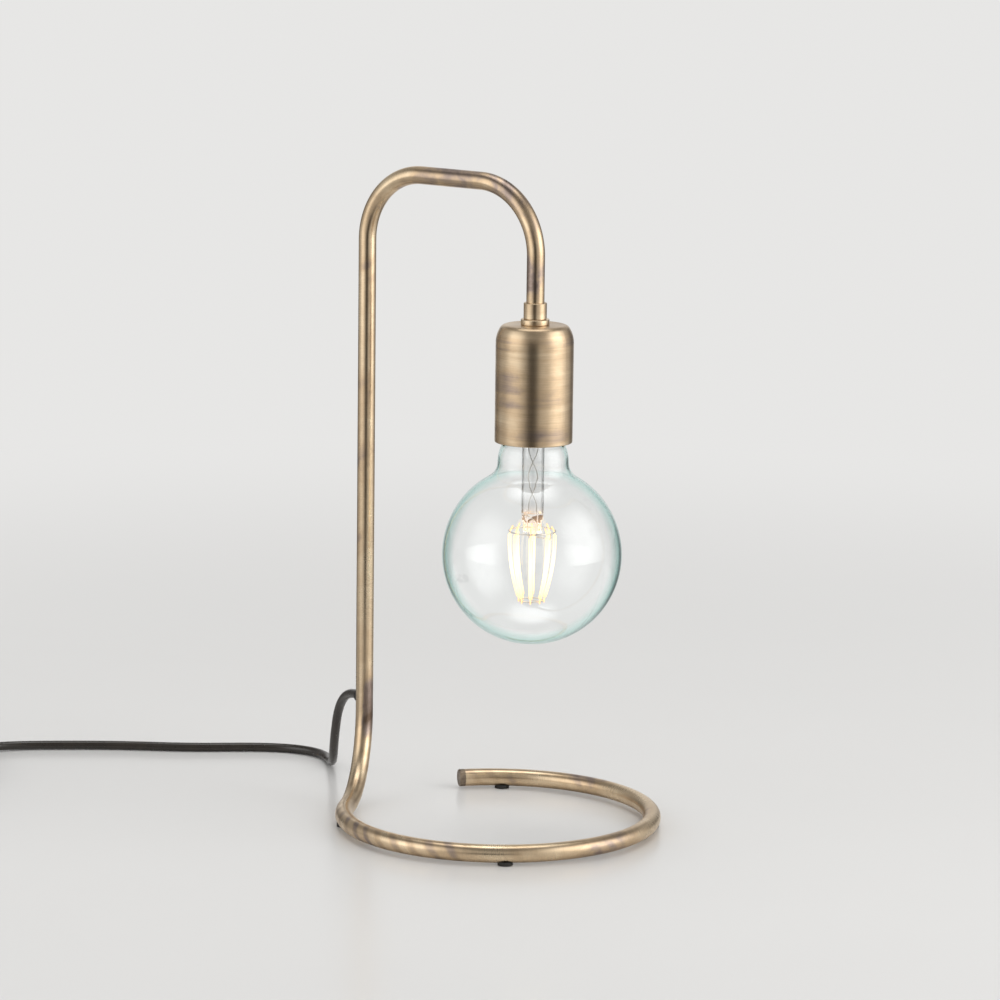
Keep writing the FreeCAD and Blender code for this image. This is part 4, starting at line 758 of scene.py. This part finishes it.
def coil_points():
    """The coil's turns, entered on its outside along the cord's last run, its centre and first bearing."""
    before, last = Vector(CORD_TO_COIL[-2]), Vector(CORD_TO_COIL[-1])
    heading = Vector((last.x - before.x, last.y - before.y, 0)).normalized()
    outward = Vector((-heading.y, heading.x, 0))
    centre = last + heading * CORD_DIAMETER - outward * coil_radius(0)
    first = math.atan2(outward.y, outward.x)
    points = []
    for i in range(int(COIL_TURNS * COIL_POINTS_PER_TURN) + 1):
        t = i / COIL_POINTS_PER_TURN
        a = first - FULL_TURN * t
        r = coil_radius(t)
        points.append((centre.x + r * math.cos(a), centre.y + r * math.sin(a), coil_height(t)))
    return points, centre, first


def cord_curve(name, points, material):
    """A cord as a round, smooth spline."""
    data = bpy.data.curves.new(name, "CURVE")
    data.dimensions = "3D"
    data.resolution_u = 12
    data.bevel_depth = CORD_DIAMETER / 2
    data.bevel_resolution = 8
    data.use_fill_caps = True
    spline = data.splines.new("NURBS")
    spline.points.add(len(points) - 1)
    for target, place in zip(spline.points, points):
        target.co = (*place, 1)
    spline.order_u = 3
    spline.use_endpoint_u = True
    data.materials.append(material)
    piece = bpy.data.objects.new(name, data)
    bpy.context.scene.collection.objects.link(piece)
    return piece


def cord_line(piece):
    """Points along a cord's middle, read from its curve."""
    data = piece.data.copy()
    data.bevel_depth = 0
    data.use_fill_caps = False
    bare = bpy.data.objects.new("bare_line", data)
    mesh = bpy.data.meshes.new_from_object(bare)
    points = [v.co.copy() for v in mesh.vertices]
    bpy.data.meshes.remove(mesh)
    bpy.data.objects.remove(bare)
    bpy.data.curves.remove(data)
    return points


def stretch(points, start, length, steps):
    """Evenly spaced points of a line from start on, with both ends."""
    wanted = [start + length * i / steps for i in range(steps + 1)]
    found = []
    gone = 0.0
    for a, b in zip(points, points[1:]):
        run = (b - a).length
        while len(found) < len(wanted) and wanted[len(found)] <= gone + run + 1e-9:
            found.append(a.lerp(b, (wanted[len(found)] - gone) / run if run else 0.0))
        gone += run
    return found


def strain_relief(name, points, material):
    """Tapered, grooved sleeve where the cord leaves the switch, from points that start in the casing."""
    steps = round(RELIEF_LENGTH / RELIEF_STEP)
    line = stretch(points, CORD_IN_SWITCH - RELIEF_ROOT, RELIEF_LENGTH, steps)
    mesh = bmesh.new()
    radii = []
    for i in range(len(line)):
        share = i / steps
        radius = RELIEF_WIDE + (RELIEF_NARROW - RELIEF_WIDE) * share
        wave = math.sin(FULL_TURN * RELIEF_GROOVES * share)
        if wave > RELIEF_GROOVE_EDGE and RELIEF_PLAIN_UNTIL < share < RELIEF_PLAIN_FROM:
            radius -= RELIEF_GROOVE_DEPTH
        radii.append(radius)
    skin(mesh, sweep_rings(mesh, line, radii))
    piece = new_piece(name, mesh, material)
    shade(piece.data, RELIEF_SHARP)
    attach(piece, "lamp")
    return piece


def tie_path():
    """Section of the coil's tie: each point's corner centre, across and up, and its way out from there."""
    reach = COIL_PITCH / 2 + CORD_DIAMETER / 2 + STRAP_EASE
    height = (COIL_LAYERS - 1) * COIL_PITCH + CORD_DIAMETER + STRAP_EASE + STRAP_THICK
    corner = CORD_DIAMETER / 2 + STRAP_EASE
    corners = [(reach - corner, corner + STRAP_THICK, -90), (reach - corner, height - corner, 0),
               (corner - reach, height - corner, 90), (corner - reach, corner + STRAP_THICK, 180)]
    path = []
    for x, z, start in corners:
        for i in range(STRAP_CORNER_STEPS + 1):
            a = math.radians(start + 90 * i / STRAP_CORNER_STEPS)
            path.append((x, z, Vector((math.cos(a), math.sin(a)))))
    return path + path[:STRAP_LAP + 1], corner


def coil_tie(centre, first):
    """Strap round the coil's turns, with its end lapped over its start on the outside."""
    bearing = first - math.pi / 2
    radial = Vector((math.cos(bearing), math.sin(bearing), 0))
    across = Vector((-radial.y, radial.x, 0))
    middle = Vector((centre.x, centre.y, 0)) + radial * (COIL_LEAST_RADIUS + COIL_PITCH)
    path, corner = tie_path()
    mesh = bmesh.new()
    sections = []
    for i, (x, z, out) in enumerate(path):
        lift = STRAP_THICK if i >= len(path) - STRAP_LAP - 1 else 0.0
        inner, outer = corner + lift, corner + lift + STRAP_THICK
        section = []
        for side, reaches in ((-1, (inner, outer)), (1, (outer, inner))):
            for reach in reaches:
                at = middle + radial * (x + out.x * reach) + UP * max(0.0, z + out.y * reach)
                section.append(mesh.verts.new(at + across * (side * STRAP_WIDTH / 2)))
        sections.append(section)
    skin(mesh, sections)
    piece = new_piece("coil_tie", mesh, strap_weave())
    shade(piece.data, STRAP_SHARP)
    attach(piece, "lamp")
    return piece


def cords(black):
    """The cord from the stem to the switch, and on through the coil to the plug."""
    sheath = cord_sheath()
    stem = Vector((STEM_X, 0, EXIT_HEIGHT))
    start = stem + EXIT_DIR * CORD_START
    first = cord_curve("lamp_cord", [tuple(start)] + CORD_TO_SWITCH, sheath)
    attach(first, "lamp")
    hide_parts("cord_to_switch")
    names = ["cable_bush", "switch_base", "switch_cover", "rocker_pin", "switch_contacts", "switch_screws",
             "cord_clamps", "switch_rocker"]
    switch = [nodes[name] for name in names]
    switch.append(strain_relief("switch_inlet_relief", cord_line(first)[::-1], black))
    turns, centre, bearing = coil_points()
    second = cord_curve("plug_cord", CORD_TO_COIL + turns + CORD_TO_PLUG, sheath)
    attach(second, "lamp")
    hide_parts("cord_to_coil", "cord_coil", "cord_to_plug")
    on_cord = [nodes["plug_body"], nodes["plug_pins"], coil_tie(centre, bearing),
               strain_relief("switch_outlet_relief", cord_line(second), black)]


# ---- Floor, light and camera
PALE = (0.80, 0.795, 0.785)
FLOOR_DARK = (0.77, 0.765, 0.755)
FLOOR_LIGHT = (0.81, 0.805, 0.795)
FLOOR_SIZE = 60.0
FLOOR_FADE = (0.28, 1.25)        # distances over which the floor turns into the backdrop's tone
GLOSS_FLOOR_FADE = (0.10, 0.42)  # and the same where gloss reflects it
DIFFUSE_LEVEL = 0.55
VIEW_RIGHT = Vector((math.cos(CAMERA_YAW), math.sin(CAMERA_YAW), 0))
VIEW_AHEAD = Vector((-VIEW_RIGHT.y, VIEW_RIGHT.x, 0))
# Brightness that gloss sees by bearing round the lamp, in degrees to the right of the camera's side:
# a dark gap behind the camera, pale screens beside it, dark boards beside the backdrop.
GLOSS_LEVELS = [
    (-180, 1.0), (-166, 1.0), (-152, 0.22), (-134, 0.22), (-116, 0.70), (-40, 0.78), (-26, 0.66),
    (-16, 0.02), (6, 0.02), (16, 0.78), (40, 1.0), (112, 0.95), (136, 0.22), (152, 0.22), (166, 1.0),
    (180, 1.0)]
LOW_GAP = (0.08, 0.40)           # heights of view over which the dark gap and boards fade
ABOVE_GAP = 0.6
CEILING = (0.35, 0.85)           # heights of view over which the studio darkens
CEILING_LEVEL = 0.35
# Name, place to the right of, ahead of and above the lamp as the camera sees it, size and radiance
SOFTBOXES = [
    ("left_softbox", (-1.10, -0.55, 0.35), (1.9, 2.2), 1.35),
    ("right_softbox", (1.15, -0.35, 0.35), (1.8, 2.2), 2.3),
    ("top_softbox", (0.0, 0.25, 1.50), (1.8, 1.4), 3.0)]
SOFTBOX_CORE = 0.08              # share of its width, from the middle, before it fades
LAMP_MIDDLE = Vector((0, 0, 0.20))


def gloss_level(n, side, ahead):
    """Brightness in a direction given by how far it reaches right of and ahead of the camera's view."""
    bearing = n.math("ARCTAN2", side, n.math("MULTIPLY", ahead, -1))
    place = n.math("MULTIPLY_ADD", bearing, 1 / FULL_TURN, 0.5)
    return n.ramp(place, [((angle + 180) / 360, (level, level, level)) for angle, level in GLOSS_LEVELS])


def world():
    """Pale studio, plain where it is seen directly or through glass, and shaped where gloss reflects it."""
    studio = bpy.data.worlds.new("studio")
    n = Nodes("", studio)
    direction = n.coordinates("Generated")
    level = gloss_level(n, n.along(direction, VIEW_RIGHT), n.along(direction, VIEW_AHEAD))
    height = n.parts(direction)[2]
    level = n.math("MAXIMUM", level, n.step(height, *LOW_GAP, at_high=ABOVE_GAP))
    gloss = n.math("MULTIPLY", level, n.step(height, *CEILING, at_low=1.0, at_high=CEILING_LEVEL))
    rays = n.add("ShaderNodeLightPath").outputs
    plain = n.math("MAXIMUM", rays["Is Camera Ray"], rays["Is Transmission Ray"])
    strength = n.mix(rays["Is Glossy Ray"], (DIFFUSE_LEVEL, DIFFUSE_LEVEL, DIFFUSE_LEVEL), gloss)
    background = n.tree.nodes["Background"]
    background.inputs["Color"].default_value = (*PALE, 1)
    n.link(n.mix(plain, strength, WHITE), background.inputs["Strength"])
    bpy.context.scene.world = studio


def floor():
    """Pale satin floor that runs out into the backdrop's own tone."""
    mesh = bmesh.new()
    corners = [(-1, -1), (1, -1), (1, 1), (-1, 1)]
    mesh.faces.new([mesh.verts.new((x * FLOOR_SIZE, y * FLOOR_SIZE, 0)) for x, y in corners])
    n = Nodes("pale_floor")
    place = n.coordinates()
    tone = n.noise(place, 3.0, detail=3.0)
    n.set(color=n.mix(tone, FLOOR_DARK, FLOOR_LIGHT), rough=n.span(tone, 0.20, 0.27))
    distance = n.add("ShaderNodeVectorMath", operation="LENGTH")
    n.link(place, distance.inputs[0])
    away = distance.outputs["Value"]
    by_gloss = n.add("ShaderNodeLightPath").outputs["Is Glossy Ray"]
    level = gloss_level(n, n.along(place, VIEW_RIGHT), n.along(place, VIEW_AHEAD))
    far = n.add("ShaderNodeEmission")
    n.link(n.mix(1.0, PALE, n.mix(by_gloss, WHITE, level), "MULTIPLY"), far.inputs["Color"])
    blend = n.add("ShaderNodeMixShader")
    n.link(n.mix(by_gloss, n.step(away, *FLOOR_FADE), n.step(away, *GLOSS_FLOOR_FADE)), blend.inputs[0])
    n.link(n.shader.outputs[0], blend.inputs[1])
    n.link(far.outputs[0], blend.inputs[2])
    n.link(blend.outputs[0], n.output.inputs["Surface"])
    new_piece("floor", mesh, n.material)


def softbox(name, offset, size, radiance):
    """Rectangular light that fades out towards its edges, aimed at the lamp."""
    data = bpy.data.lights.new(name, "AREA")
    data.shape = "RECTANGLE"
    data.size, data.size_y = size
    data.energy = radiance * math.pi * size[0] * size[1]
    n = Nodes("", data)
    u, v = n.parts(n.add("ShaderNodeNewGeometry").outputs["Parametric"])[:2]
    fade = [n.step(n.apart(t, 0.5), SOFTBOX_CORE, 0.5, at_low=1.0, at_high=0.0) for t in (u, v)]
    n.link(n.product(*fade), n.tree.nodes["Emission"].inputs["Strength"])
    right, ahead, above = offset
    from_lamp = VIEW_RIGHT * right + VIEW_AHEAD * ahead + UP * above
    light = bpy.data.objects.new(name, data)
    light.location = LAMP_MIDDLE + from_lamp
    light.rotation_euler = (-from_lamp).to_track_quat("-Z", "Y").to_euler()
    bpy.context.scene.collection.objects.link(light)


def camera():
    """The photograph's view."""
    data = bpy.data.cameras.new("camera")
    data.sensor_width = SENSOR_MM
    data.sensor_fit = "HORIZONTAL"
    data.lens = CAMERA_FOCAL_PX * SENSOR_MM / IMAGE_PX
    eye = bpy.data.objects.new("camera", data)
    turn = Matrix.Rotation(CAMERA_YAW, 4, "Z") @ Matrix.Rotation(math.pi / 2 + CAMERA_PITCH, 4, "X")
    eye.matrix_world = Matrix.Translation(CAMERA_PLACE) @ turn @ Matrix.Rotation(CAMERA_ROLL, 4, "Z")
    bpy.context.scene.collection.objects.link(eye)
    bpy.context.scene.camera = eye


bpy.context.scene.view_settings.view_transform = "Standard"
for node in nodes.values():
    shade(node.data, CAD_SHARP)
tube_material, black_plastic = make_materials()
camera()
cords(black_plastic)
bent_tube(tube_material)
floor()
world()
for entry in SOFTBOXES:
    softbox(*entry)
